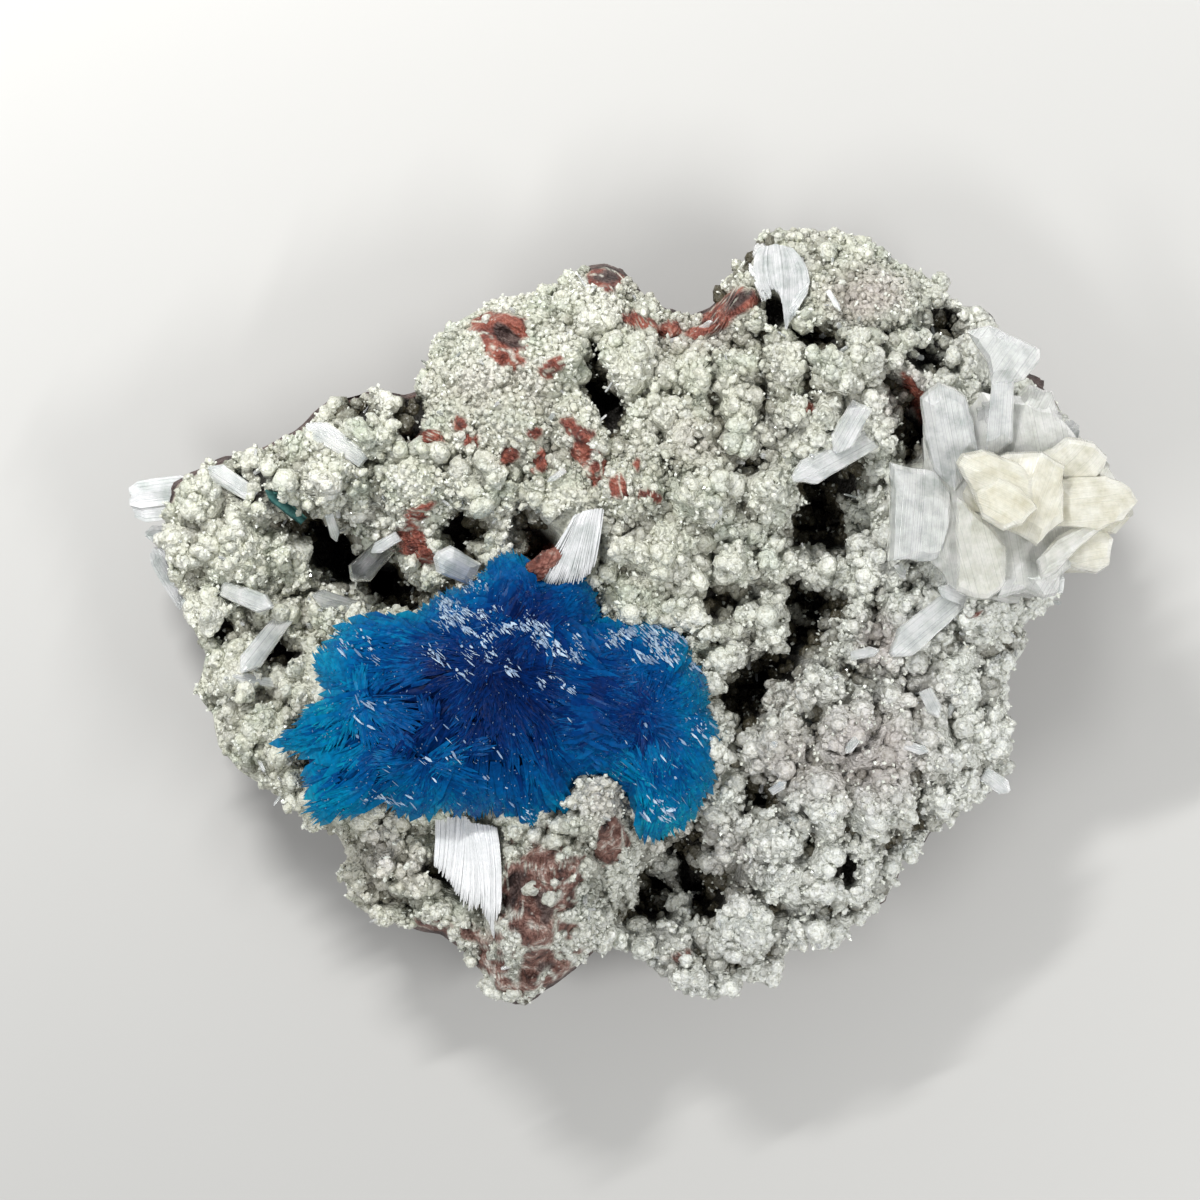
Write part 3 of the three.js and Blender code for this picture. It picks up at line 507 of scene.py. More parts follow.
def on_face(place):
    """Pixels with a lift over the face, as points."""
    place = np.asarray(place, float)
    px, lift = place[..., :2], place[..., 2]
    level = spot(px, FACE_HEIGHT)
    level = spot(px, face_height(level[..., 0], level[..., 1]))
    return spot(px, face_height(level[..., 0], level[..., 1]) + lift)


def over_back(place):
    """A pixel and a height over the flat back, as a point."""
    return spot(place[:2], place[2])


def in_ellipse(x, y, at, half, turn=0.0):
    """Distance from an ellipse's middle, counted so that it is 1 on the ellipse."""
    middle = spot(at, FACE_HEIGHT)
    angle = np.radians(turn)
    dx, dy = x - middle[0], y - middle[1]
    across = dx * np.cos(angle) + dy * np.sin(angle)
    along = dy * np.cos(angle) - dx * np.sin(angle)
    return np.hypot(across / half[0], along / half[1])


def level_points(x, y):
    """Plan coordinates as points at height 0."""
    return np.stack([x, y, 0 * x], -1)


def directions(angle):
    """Plan vectors of length 1 at the given angles."""
    return np.stack([np.cos(angle), np.sin(angle)], -1)


def noise(points, size, seed=0.0):
    """Smooth 3-D value noise from -1 to 1: random values on a grid of the given size, blended between."""
    cell = points / size
    low = np.floor(cell)
    blend = cell - low
    blend = blend * blend * (3 - 2 * blend)
    total = np.zeros(points.shape[:-1])
    for corner in np.ndindex(2, 2, 2):
        weight = np.prod(np.where(corner, blend, 1 - blend), -1)
        at = low + corner
        total += weight * hashed(at @ HASH_STEPS + seed * HASH_SEED_STEP)
    return 2 * total - 1


# Meshes


def mesh_piece(name, points, faces, material, smooth=False, **attributes):
    """Points in mm and faces of three or four corners, as one object with its attributes on the points."""
    mesh = bpy.data.meshes.new(name)
    faces = np.asarray(faces, np.int32)
    corners = faces.shape[1]
    mesh.vertices.add(len(points))
    mesh.vertices.foreach_set("co", (np.asarray(points, float) * MM).astype(np.float32).ravel())
    mesh.loops.add(faces.size)
    mesh.loops.foreach_set("vertex_index", faces.ravel())
    mesh.polygons.add(len(faces))
    mesh.polygons.foreach_set("loop_start", np.arange(0, faces.size, corners, dtype=np.int32))
    mesh.polygons.foreach_set("use_smooth", np.full(len(faces), smooth))
    for label, values in attributes.items():
        layer = mesh.attributes.new(label, "FLOAT", "POINT")
        layer.data.foreach_set("value", np.asarray(values, np.float32).ravel())
    mesh.update(calc_edges=True)
    mesh.validate()
    mesh.materials.append(material)
    piece = bpy.data.objects.new(name, mesh)
    bpy.context.scene.collection.objects.link(piece)
    return piece


def ring_faces(rings, count, first):
    """Quads between closed rings of equal counts, whose points start at the given index."""
    ring, i = np.meshgrid(np.arange(rings - 1), np.arange(count), indexing="ij")
    a = first + ring * count + i
    b = first + ring * count + (i + 1) % count
    return np.stack([a, a + count, b + count, b], -1).reshape(-1, 4)


def closed_rings(top, rings, bottom):
    """Rings from a top pole to a bottom pole, as points and triangles."""
    count = rings.shape[1]
    points = np.concatenate([[top], rings.reshape(-1, 3), [bottom]])
    quads = ring_faces(len(rings), count, 1)
    i = np.arange(count)
    j = (i + 1) % count
    last = 1 + (len(rings) - 1) * count
    upper = np.stack([0 * i, 1 + i, 1 + j], -1)
    lower = np.stack([0 * i + len(points) - 1, last + j, last + i], -1)
    return points, np.concatenate([upper, quads[:, [0, 1, 2]], quads[:, [0, 2, 3]], lower])


def ball(polar, angle):
    """A ball of radius 1 as points and triangles: rings at polar angles, with points at angles round it."""
    flat = np.sin(polar)
    rings = np.stack([flat * np.cos(angle), flat * np.sin(angle), np.cos(polar) + 0 * angle], -1)
    return closed_rings(np.array([0, 0, 1.0]), rings, np.array([0, 0, -1.0]))


def joined(parts):
    """Several (points, faces, values) as one."""
    starts = np.cumsum([0] + [len(points) for points, _, _ in parts[:-1]])
    points = np.concatenate([p for p, _, _ in parts])
    faces = np.concatenate([f + start for (_, f, _), start in zip(parts, starts)])
    return points, faces, np.concatenate([v for _, _, v in parts])


def unit(vectors):
    """Vectors at length 1."""
    return vectors / np.maximum(np.linalg.norm(vectors, axis=-1, keepdims=True), 1e-9)


def scatter(points, faces, count, rng, weight):
    """Random points on triangles, by area times weight: their places and the triangles' normals."""
    a, b, c = (points[faces[:, k]] for k in range(3))
    normal = np.cross(b - a, c - a)
    share = np.linalg.norm(normal, axis=1) * weight
    pick = rng.choice(len(faces), count, p=share / share.sum())
    u, v = np.sort(rng.random((2, count)), axis=0)
    place = a[pick] * u[:, None] + b[pick] * (v - u)[:, None] + c[pick] * (1 - v)[:, None]
    return place, unit(normal[pick])


def spaced(points, cell):
    """Which points to keep so that each cube of the given size holds one."""
    _, first = np.unique(np.floor(points / cell).astype(int), axis=0, return_index=True)
    return first


def frames_on(normals, rng):
    """Turned bases whose third axis is the normal, as (n, 3, 3)."""
    start = rng.normal(size=normals.shape)
    across = unit(np.cross(normals, start))
    return np.stack([across, np.cross(normals, across), normals], 1)


def copies(shapes, pick, bases, sizes, places):
    """Copies of closed shapes (k, v, 3), each scaled, turned and set in place, as points (n * v, 3)."""
    local = shapes[pick] * sizes[:, None, :]
    return (np.einsum("nvi,nij->nvj", local, bases) + places[:, None, :]).reshape(-1, 3)


def tiled(faces, points_each, count):
    """One shape's faces, repeated for its copies."""
    return (faces[None] + (np.arange(count) * points_each)[:, None, None]).reshape(-1, faces.shape[1])


# Materials


def linear(hex_colour):
    """An sRGB hex colour as linear RGBA."""
    channels = np.array([int(hex_colour[i : i + 2], 16) for i in (1, 3, 5)]) / 255
    straight = np.where(channels <= 0.04045, channels / 12.92, ((channels + 0.055) / 1.055) ** 2.4)
    return (*straight, 1.0)


def add_node(tree, kind, links=(), **settings):
    """Adds a node: settings name its properties or, with in_, its sockets; links join sockets to it."""
    node = tree.nodes.new(kind)
    for key, value in settings.items():
        if key.startswith("in_"):
            socket = key[3:]
            node.inputs[int(socket) if socket.isdigit() else socket.replace("_", " ")].default_value = value
        else:
            setattr(node, key, value)
    for output, socket in links:
        tree.links.new(output, node.inputs[socket])
    return node


def new_material(name):
    """A material with its Principled shader, and its node tree."""
    material = bpy.data.materials.new(name)
    material.use_nodes = True
    tree = material.node_tree
    return material, tree, tree.nodes["Principled BSDF"]


def ramp(tree, factor, stops):
    """A colour ramp over a value: stops are (place, hex colour)."""
    node = add_node(tree, "ShaderNodeValToRGB", [(factor, "Fac")])
    elements = node.color_ramp.elements
    while len(elements) < len(stops):
        elements.new(0.5)
    for element, (place, colour) in zip(elements, stops):
        element.position = place
        element.color = linear(colour)
    return node.outputs["Color"]


def mixed(tree, factor, a, b, kind="MIX"):
    """Two colours mixed by a factor. Each is a socket or a colour."""
    node = add_node(tree, "ShaderNodeMix", data_type="RGBA", blend_type=kind, clamp_result=True)
    for socket, value in ((0, factor), (6, a), (7, b)):
        if isinstance(value, bpy.types.NodeSocket):
            tree.links.new(value, node.inputs[socket])
        else:
            node.inputs[socket].default_value = value
    return node.outputs[2]


def texture(tree, kind, size_mm, **settings):
    """A noise or Voronoi texture on Object coordinates, one feature about size_mm across."""
    place = add_node(tree, "ShaderNodeTexCoord").outputs["Object"]
    return add_node(tree, kind, [(place, "Vector")], in_Scale=1 / (size_mm * MM), **settings)


def bump(tree, shader, height, depth_mm, strength):
    """Bump from a height of 0 to 1 that stands for depth_mm."""
    node = add_node(
        tree, "ShaderNodeBump", [(height, "Height")], in_Strength=strength, in_Distance=depth_mm * MM
    )
    tree.links.new(node.outputs["Normal"], shader.inputs["Normal"])


def set_inputs(shader, **values):
    """Plain values for a shader's inputs, with _ for the spaces in their names."""
    for label, value in values.items():
        shader.inputs[label.replace("_", " ")].default_value = value


def attribute(tree, label):
    """A number kept on the mesh."""
    return add_node(tree, "ShaderNodeAttribute", attribute_name=label).outputs["Fac"]


def scaled(tree, value, by, plus=0.0):
    """value * by + plus, kept between 0 and 1."""
    return add_node(
        tree, "ShaderNodeMath", [(value, 0)], operation="MULTIPLY_ADD", use_clamp=True, in_1=by, in_2=plus
    ).outputs[0]


def crust_colour(tree, dark):
    """Grey-green druse: cloudy at 7 mm and speckled at 0.6 mm, brown where the rock shows through it, and
    darkened towards the dark colour in its gaps and hollows as painted shade."""
    patches = texture(tree, "ShaderNodeTexNoise", 7.0, in_Detail=3.0).outputs["Fac"]
    grains = texture(tree, "ShaderNodeTexNoise", 0.6, in_Detail=2.0).outputs["Fac"]
    body = ramp(tree, patches, [(0.3, "#c3cab8"), (0.48, "#d9dac9"), (0.7, "#e9e8dd")])
    body = mixed(tree, scaled(tree, attribute(tree, "cool"), 0.8), body, linear("#e6e8e4"))
    body = mixed(tree, scaled(tree, attribute(tree, "shade"), 0.4), body, linear("#f4f4ec"))
    body = mixed(tree, scaled(tree, attribute(tree, "tint"), 0.75), body, linear("#a58f90"))
    speckle = ramp(tree, grains, [(0.34, "#918e7c"), (0.47, "#f4f4ee"), (0.6, "#ffffff")])
    colour = mixed(tree, 0.5, body, speckle, "MULTIPLY")
    # painted shade: the colour goes towards the dark colour by how deep in a hollow it lies
    return mixed(tree, scaled(tree, attribute(tree, "painted_hollow_shade"), 1.1), colour, linear(dark))


def drusy_crust():
    """Chalcedony and heulandite druse: sugary grains, waxy and a little translucent."""
    material, tree, shader = new_material("drusy_grey_green_crust")
    crystals = texture(tree, "ShaderNodeTexVoronoi", 0.4).outputs["Distance"]
    # 4f4a3a is the painted shade in the gaps between balls of crust
    tree.links.new(crust_colour(tree, "#4f4a3a"), shader.inputs["Base Color"])
    set_inputs(shader, Roughness=0.38, IOR=1.53)
    set_inputs(shader, Subsurface_Weight=0.25, Subsurface_Radius=(1.0, 0.95, 0.85), Subsurface_Scale=MM)
    bump(tree, shader, crystals, 0.3, 0.68)
    return material


def broken_basalt():
    """Zeolite-bearing basalt under its crust: where it is bare it is dull broken rock, rust red above and
    brown below, with pale specks, and darker on the walls."""
    material, tree, shader = new_material("crusted_red_basalt")
    blotches = texture(tree, "ShaderNodeTexNoise", 2.4, in_Detail=6.0, in_Roughness=0.65).outputs["Fac"]
    specks = texture(tree, "ShaderNodeTexVoronoi", 1.1).outputs["Distance"]
    grit = texture(tree, "ShaderNodeTexVoronoi", 0.55).outputs["Distance"]
    rust = [(0.34, "#4a2722"), (0.47, "#824336"), (0.58, "#a05a48"), (0.68, "#bda093")]
    brown = [(0.34, "#2c1c1a"), (0.46, "#6f4a40"), (0.56, "#97766b"), (0.66, "#cfc6bc")]
    rock = mixed(tree, attribute(tree, "rust"), ramp(tree, blotches, brown), ramp(tree, blotches, rust))
    rock = mixed(tree, scaled(tree, specks, -6.0, 1.2), rock, linear("#c9beb4"))
    wall = ramp(tree, blotches, [(0.3, "#261b1b"), (0.5, "#4b3834"), (0.68, "#7c6a64")])
    rock = mixed(tree, attribute(tree, "wall"), rock, wall)
    # 211e18 is the painted shade in the rock's crevices, recesses and vugs
    crust = crust_colour(tree, "#211e18")
    tree.links.new(mixed(tree, attribute(tree, "bare"), crust, rock), shader.inputs["Base Color"])
    set_inputs(shader, Roughness=0.6, IOR=1.5)
    bump(tree, shader, add_node(tree, "ShaderNodeMath", [(grit, 0), (blotches, 1)]).outputs[0], 0.5, 1.0)
    return material


def quartz_points():
    """Tiny water-clear crystals on the crust: glossy, so that they sparkle."""
    material, _, shader = new_material("glassy_druse_points")
    set_inputs(shader, Base_Color=linear("#e6e8de"), Roughness=0.12, IOR=1.54)
    return material


def cavansite(name, stops):
    """Cavansite: vitreous laths, darker where they are deep and greener where thin at their tips."""
    material, tree, shader = new_material(name)
    tone = attribute(tree, "tone")
    fibres = texture(tree, "ShaderNodeTexNoise", 0.7, in_Detail=4.0).outputs["Fac"]
    body = ramp(tree, tone, stops)
    shade = ramp(tree, fibres, [(0.3, "#8096a8"), (0.62, "#ffffff")])
    colour = mixed(tree, 0.6, body, shade, "MULTIPLY")
    # painted glint: the laths' colour is mixed towards pale blue-white by this value
    colour = mixed(tree, attribute(tree, "frost"), colour, linear("#d4e8f6"))
    tree.links.new(colour, shader.inputs["Base Color"])
    set_inputs(shader, Roughness=0.34, IOR=1.54, Specular_IOR_Level=0.05)
    bump(tree, shader, fibres, 0.12, 0.5)
    return material


def stilbite():
    """Stilbite: pearly white to cream blades, translucent, with fine lines along them."""
    material, tree, shader = new_material("pearly_stilbite")
    lane, cream, clear = (attribute(tree, label) for label in ("lane", "cream", "clear"))
    cloud = texture(tree, "ShaderNodeTexNoise", 2.0, in_Detail=4.0).outputs["Fac"]
    frost = texture(tree, "ShaderNodeTexNoise", 0.4, in_Detail=3.0).outputs["Fac"]
    lines = add_node(
        tree, "ShaderNodeTexNoise", [(lane, "W")], noise_dimensions="1D", in_Scale=6.5, in_Detail=3.0
    ).outputs["Fac"]
    white_body = ramp(tree, cloud, [(0.32, "#cfd5d2"), (0.6, "#ffffff")])
    cream_body = ramp(tree, cloud, [(0.32, "#e2dcc4"), (0.62, "#fcf9ea")])
    streak = ramp(tree, lines, [(0.34, "#a4acac"), (0.5, "#ffffff")])
    haze = ramp(tree, frost, [(0.38, "#b9c0be"), (0.52, "#ffffff")])
    colour = mixed(tree, cream, white_body, cream_body)
    colour = mixed(tree, scaled(tree, cream, -0.22, 0.36), colour, streak, "MULTIPLY")
    colour = mixed(tree, scaled(tree, clear, -2.0, 0.9), colour, linear("#ffffff"))
    colour = mixed(tree, 0.12, colour, haze, "MULTIPLY")
    tree.links.new(colour, shader.inputs["Base Color"])
    tree.links.new(scaled(tree, clear, 0.5), shader.inputs["Transmission Weight"])
    set_inputs(shader, Roughness=0.13, IOR=1.5)
    set_inputs(shader, Subsurface_Weight=0.15, Subsurface_Radius=(1.0, 1.0, 0.92), Subsurface_Scale=MM)
    bump(tree, shader, lines, 0.2, 0.6)
    return material


# The rock and its crust


def lump_height(x, y):
    """Lumps on a six-sided lattice: each is a dome, its height falling with the square of the distance."""
    row_step = LUMP_PITCH * np.sin(np.pi / 3)
    reach = LUMP_PITCH / np.sqrt(3)
    valley = 0.8 * LUMP_HEIGHT
    best = np.full(np.shape(x), -valley)
    for row_shift in (-1, 0, 1):
        row = np.round(y / row_step) + row_shift
        half = np.abs(row) % 2 / 2
        for column_shift in (-1, 0, 1):
            column = np.round(x / LUMP_PITCH - half) + column_shift
            n = row * 97 + column
            cx = LUMP_PITCH * (column + half) + 1.6 * (chance(n, 5) - 0.5)
            cy = row_step * row + 1.6 * (chance(n, 6) - 0.5)
            top = LUMP_HEIGHT * (0.25 + 0.95 * chance(n, 4))
            fall = ((x - cx) ** 2 + (y - cy) ** 2) / reach**2
            best = np.maximum(best, top - (top + valley) * fall)
    return best


def fine_share(x, y):
    """1 where the crust is fine-grained and flat, 0 where it grows in clumps."""
    share = np.zeros(np.shape(x))
    for at, half in FINE_GRAIN:
        share = np.maximum(share, np.clip((1.15 - in_ellipse(x, y, at, half)) / 0.3, 0, 1))
    return share


def bare_share(x, y):
    """1 on bare rock and 0 on crust, with a ragged edge and islands of crust left on the rock."""
    flat = level_points(x, y)
    ragged = 0.42 * noise(flat, 1.5, 3.0) + 0.2 * noise(flat, 0.7, 4.0)
    share = np.zeros(np.shape(x))
    for at, half, turn, _ in BARE_PATCHES:
        near = in_ellipse(x, y, at, half, turn) + ragged
        share = np.maximum(share, np.clip((1.05 - near) / 0.12, 0, 1))
    return share


def bare_rim(angle):
    """1 at the angles round the rock where the crust stops short of the outline."""
    rim = np.zeros(np.shape(angle))
    for start, end in BARE_RIM:
        first, last = (np.arctan2(*(spot(px, EDGE_HEIGHT) - ROCK_CENTRE)[[1, 0]]) for px in (start, end))
        span = (first - last) % TURN
        rim = np.maximum(rim, ((angle - last) % TURN < span).astype(float))
    return rim


def ledge_drop(x, y):
    """The fall beside each ledge: sudden at its line, then fading away from it on one side."""
    drop = np.zeros(np.shape(x))
    for start, end, depth, reach in LEDGES:
        a, b = spot(start, FACE_HEIGHT), spot(end, FACE_HEIGHT)
        along = (b - a)[:2]
        length = np.hypot(*along)
        along = along / length
        dx, dy = x - a[0], y - a[1]
        share = (dx * along[0] + dy * along[1]) / length
        side = dx * along[1] - dy * along[0] + 0.9 * noise(level_points(x, y), 3.0, 12.0)
        ends = np.clip(share / 0.2, 0, 1) * np.clip((1 - share) / 0.2, 0, 1)
        wall = np.clip(side / 0.8, 0, 1)
        drop += depth * ends * wall * np.exp(-((np.maximum(side, 0) / reach) ** 2))
    return drop


def nearest_clear(x, y):
    """Distance from the places kept clear for crystals on the face, 1 at their edges."""
    return np.min([in_ellipse(x, y, at, half, turn) for at, half, turn in CLEAR_PLACES], axis=0)


def billow(points, size, seed):
    """Round knobs with sharp creases between them, 0 in a crease: noise folded at zero."""
    return np.minimum(np.abs(noise(points, size, seed)) * 2.2, 1) ** 0.8


def rock_surface():
    """The rock as rings of points round its centre, from the face's middle over the rim to the back.

    On the face a point is the outline scaled by its share, at the face's height plus lumps and knobs, less
    the crevices between clumps of crust, the recesses and the vugs. Below the rim the rings follow the
    wall's profile, roughened by noise."""
    angle = np.linspace(0, TURN, ROCK_SECTORS, endpoint=False)
    steps = np.linspace(0, 1, FACE_RINGS + 1)[1:]
    shares = (1 - (1 - steps) ** 1.25)[:, None]
    edge_waver = noise(level_points(20 * np.cos(angle), 20 * np.sin(angle)), 1.3)
    out = shares * (0.985 + 0.012 * edge_waver)
    reach = rock_radius(angle)
    x = ROCK_CENTRE[0] + out * reach * np.cos(angle)
    y = ROCK_CENTRE[1] + out * reach * np.sin(angle)
    flat = level_points(x, y)
    rim_fade = np.clip((1 - shares) / 0.05, 0.0, 1)
    coarse = 1 - fine_share(x, y)
    z = face_height(x, y) + lump_height(x, y) * (0.25 + (0.75 + 0.5 * coarse) * rim_fade)
    crevice = np.clip(1 - np.abs(noise(flat, 7.0, 11.0)) / 0.2, 0, 1)
    swirl = flat + 0.8 * level_points(noise(flat, 4.0, 31.0), noise(flat, 4.0, 32.0))
    knobs = 2.0 * billow(swirl, 4.4, 33.0) + 1.15 * billow(swirl, 2.1, 34.0)
    z += (0.3 + 0.7 * rim_fade) * (0.25 + 0.75 * coarse) * (knobs - 1.5) + 0.45 * billow(flat, 1.0, 35.0)
    z -= rim_fade * (0.4 + 0.4 * coarse + (0.5 + 2.4 * coarse) * crevice)
    z -= ledge_drop(x, y) * rim_fade
    clear = np.clip((1.15 - nearest_clear(x, y)) / 0.3, 0, 1)
    z = z * (1 - clear) + np.minimum(z, face_height(x, y) - 0.6) * clear
    bare = bare_share(x, y)
    for at, half, turn, rise in BARE_PATCHES:
        z += (rise + 0.8) * np.clip(1.2 - in_ellipse(x, y, at, half, turn), 0, 0.4) / 0.4
    z += bare * (0.7 * noise(flat, 1.4, 21.0) + 0.5 * noise(flat, 0.7, 22.0))
    island = 0.09 + 0.2 * np.clip((ISLANDS_BELOW - y) / 3, 0, 1)
    bare = bare * np.clip(np.abs(noise(flat, 2.1, 23.0)) / island, 0, 1) ** 2
    # how deep a point lies in a crevice, recess or vug; the crust's colour is darkened by it as painted
    # shade
    painted_hollow_shade = 0.55 * coarse * crevice * rim_fade
    for at, half, depth in RECESSES:
        near = in_ellipse(x, y, at, half)
        z -= depth * np.exp(-(near**2)) * rim_fade
        painted_hollow_shade = np.maximum(painted_hollow_shade, 0.45 * np.clip(1.3 - near, 0, 1))
    for at, half, turn, depth in VUGS:
        near = in_ellipse(x, y, at, np.add(half, 1.2), turn) + 0.25 * noise(flat, 2.2, 5.0)
        cut = depth * np.clip(1.12 - near, 0, 1) ** 0.5
        z -= np.where(near < 1.12, cut, 0)
        painted_hollow_shade = np.maximum(painted_hollow_shade, np.clip((1.15 - near) / 0.45, 0, 1))
    rim = bare_rim(angle) * np.clip((shares - 0.982) / 0.006, 0, 1)
    bare = np.maximum(bare, rim)
    wall_face = np.maximum(rim, np.clip((shares - 0.99) / 0.01, 0, 1) + 0 * x)
    for at, half, turn in DARK_ROCK:
        near = in_ellipse(x, y, at, half, turn) + 0.4 * noise(flat, 1.2, 24.0)
        wall_face = np.maximum(wall_face, np.clip((1.05 - near) / 0.3, 0, 1))
    face = np.stack([x, y, z], -1)

    wall_steps = np.linspace(0, 1, WALL_RINGS + 1)[1:, None]
    profile_z = np.interp(wall_steps, WALL_DOWN, WALL_HEIGHT)
    profile_out = np.interp(wall_steps, WALL_DOWN, WALL_IN)
    smooth = level_points(reach * np.cos(angle), reach * np.sin(angle)) * (1 + profile_out[..., None])
    smooth[..., 2] = EDGE_HEIGHT * profile_z
    rough = 0.024 * noise(smooth, 7.0, 7.0) + 0.018 * noise(smooth, 2.4, 8.0)
    rough += 0.011 * noise(smooth, 1.0, 9.0)
    wall_out = out[-1] + profile_out + rough * np.minimum(wall_steps / 0.15, 1)
    back_out = wall_out[-1] * np.array(BACK_RINGS)[:, None]
    below = np.concatenate([wall_out, back_out])
    below_x = ROCK_CENTRE[0] + below * reach * np.cos(angle)
    below_y = ROCK_CENTRE[1] + below * reach * np.sin(angle)
    below_z = np.concatenate([z[-1] * profile_z, 0 * back_out])
    lower = np.stack([below_x, below_y, below_z], -1)
    top = np.array([*ROCK_CENTRE[:2], z[0].mean()])
    points, faces = closed_rings(top, np.concatenate([face, lower]), np.array([*ROCK_CENTRE[:2], 0.0]))
    rest = np.ones(below.size + 1)
    layers = ((bare, 1), (painted_hollow_shade, 0), (wall_face, 1))
    values = [np.concatenate([[0.0], on_top.ravel(), under * rest]) for on_top, under in layers]
    return points, faces, *values


def ball_shapes(rng, kinds, around, polar):
    """Rough balls: rings of points at the given polar angles, their radius dented by noise."""
    polar = np.radians(polar)[:, None]
    turn = (np.arange(len(polar)) % 2)[:, None] * 0.5 * TURN / around
    points, faces = ball(polar, np.linspace(0, TURN, around, endpoint=False) + turn)
    radii = []
    for kind in range(kinds):
        dents = 0.2 * noise(points + 9 * kind, 0.9, kind)
        radii.append(1 + 0.1 * (rng.random(len(points)) - 0.5) + dents)
    return points[None] * np.array(radii)[..., None], faces


def tint_of(x, y):
    """How brown or violet the crust is, by the tinted areas."""
    tint = np.zeros(np.shape(x))
    for at, half, strength in TINTED_CRUST:
        tint = np.maximum(tint, strength * np.clip(1.5 - in_ellipse(x, y, at, half), 0, 1))
    return tint


def cool_share(x, y):
    """0 where the crust is warm, at the left and the top, and 1 where it is grey, at the lower right."""
    return np.clip((x - 0.7 * y + 5) / 45, 0, 1)


def crust_sites(surface):
    """For the rock's triangles: their heights, how fine the crust is there, and where it can grow at all."""
    points, faces, _, _, wall = surface
    x, y, z = points[faces].mean(1).T
    return z, fine_share(x, y), (wall[faces].max(1) < 0.6) * (nearest_clear(x, y) >= 1)


def crust_clumps(surface, rng):
    """Balls of the clumped crust: a head half sunk in the rock at each root, with two buds on it."""
    points, faces, bare, painted_hollow_shade, _ = surface
    height, fine, open_face = crust_sites(surface)
    open_face = open_face * (bare[faces].max(1) < 0.5) * (height > EDGE_HEIGHT - 6)
    hollow = np.clip(1.25 - 1.4 * painted_hollow_shade[faces].max(1), 0.1, 1)
    place, normal = scatter(points, faces, CLUMP_TRIES, rng, open_face * (fine < 0.5) * hollow)
    keep = spaced(place, CLUMP_SPACING)
    place, normal = place[keep], normal[keep]
    count = len(place)
    aim = unit(normal + 0.45 * rng.normal(size=(count, 3)) + np.array([0, 0, 0.3]))
    size = 0.7 + 0.85 * rng.random(count) ** 1.5
    heads = place + aim * (size * (0.6 * rng.random(count) - 0.25))[:, None]
    balls = [(heads, size, aim)]
    for _ in range(2):
        side = unit(0.25 * aim + rng.normal(size=(count, 3)) * 0.8)
        balls.append((heads + side * (0.66 * size)[:, None], size * (0.5 + 0.35 * rng.random(count)), side))
    return [np.concatenate(values) for values in zip(*balls)]


def crust_grains(surface, clumps, rng):
    """Small grains, half sunk: all over the fine crust, and more loosely on the rock and balls elsewhere."""
    points, faces, bare, painted_hollow_shade, _ = surface
    height, fine, open_face = crust_sites(surface)
    open_face = open_face * (bare[faces].max(1) < 0.4) * (painted_hollow_shade[faces].max(1) < 0.6)
    open_face = open_face * (height > EDGE_HEIGHT - 4)
    patches = []
    for share, gap in ((fine > 0.5, FINE_SPACING), (fine <= 0.5, LOOSE_SPACING)):
        place, normal = scatter(points, faces, GRAIN_TRIES, rng, open_face * share)
        keep = spaced(place, gap)
        patches.append((place[keep], normal[keep]))
    place, normal = (np.concatenate(values) for values in zip(*patches))
    heads, sizes, aims = clumps
    owner = rng.integers(0, len(heads), GRAINS_ON_CLUMPS)
    side = unit(aims[owner] + 0.8 * rng.normal(size=(GRAINS_ON_CLUMPS, 3)))
    on_balls = heads[owner] + side * (0.9 * sizes[owner])[:, None]
    place, normal = np.concatenate([place, on_balls]), np.concatenate([normal, side])
    size = 0.36 + 0.46 * rng.random(len(place)) ** 1.6
    aim = unit(normal + 0.4 * rng.normal(size=place.shape))
    return place + aim * (0.15 * size)[:, None], size, aim


# The depth found here darkens the crust's colour in its hollows as painted shade.
def cavity(place, tops):
    """How far each place lies below its surroundings, from 0 to 1: the highest top of each small cell is
    averaged over the cells round the place. Heights are counted from the plain face."""
    cell = 1.6
    cells = 100

    def index(points):
        return tuple(np.clip(((points[:, :2] / cell) + cells / 2).astype(int), 0, cells - 1).T)

    place_height, top_height = (p[:, 2] - face_height(p[:, 0], p[:, 1]) for p in (place, tops))
    order = np.argsort(top_height)
    grid = np.full((cells, cells), np.nan)
    grid[index(tops[order])] = top_height[order]
    total = np.zeros_like(grid)
    filled = np.zeros_like(grid)
    for shift in np.ndindex(5, 5):
        near = np.roll(grid, tuple(np.subtract(shift, 2)), (0, 1))
        total += np.nan_to_num(near)
        filled += ~np.isnan(near)
    mean = total / np.maximum(filled, 1)
    return np.clip((mean[index(place)] - place_height - 0.2) / 4.5, 0, 1)


def held_inside(place, size, box):
    """Places moved in so that balls of these sizes stay inside the box."""
    low, high = (np.array(corner) / MM for corner in box)
    room = 1.35 * size[:, None]
    return np.minimum(np.maximum(place, low + room), high - room)


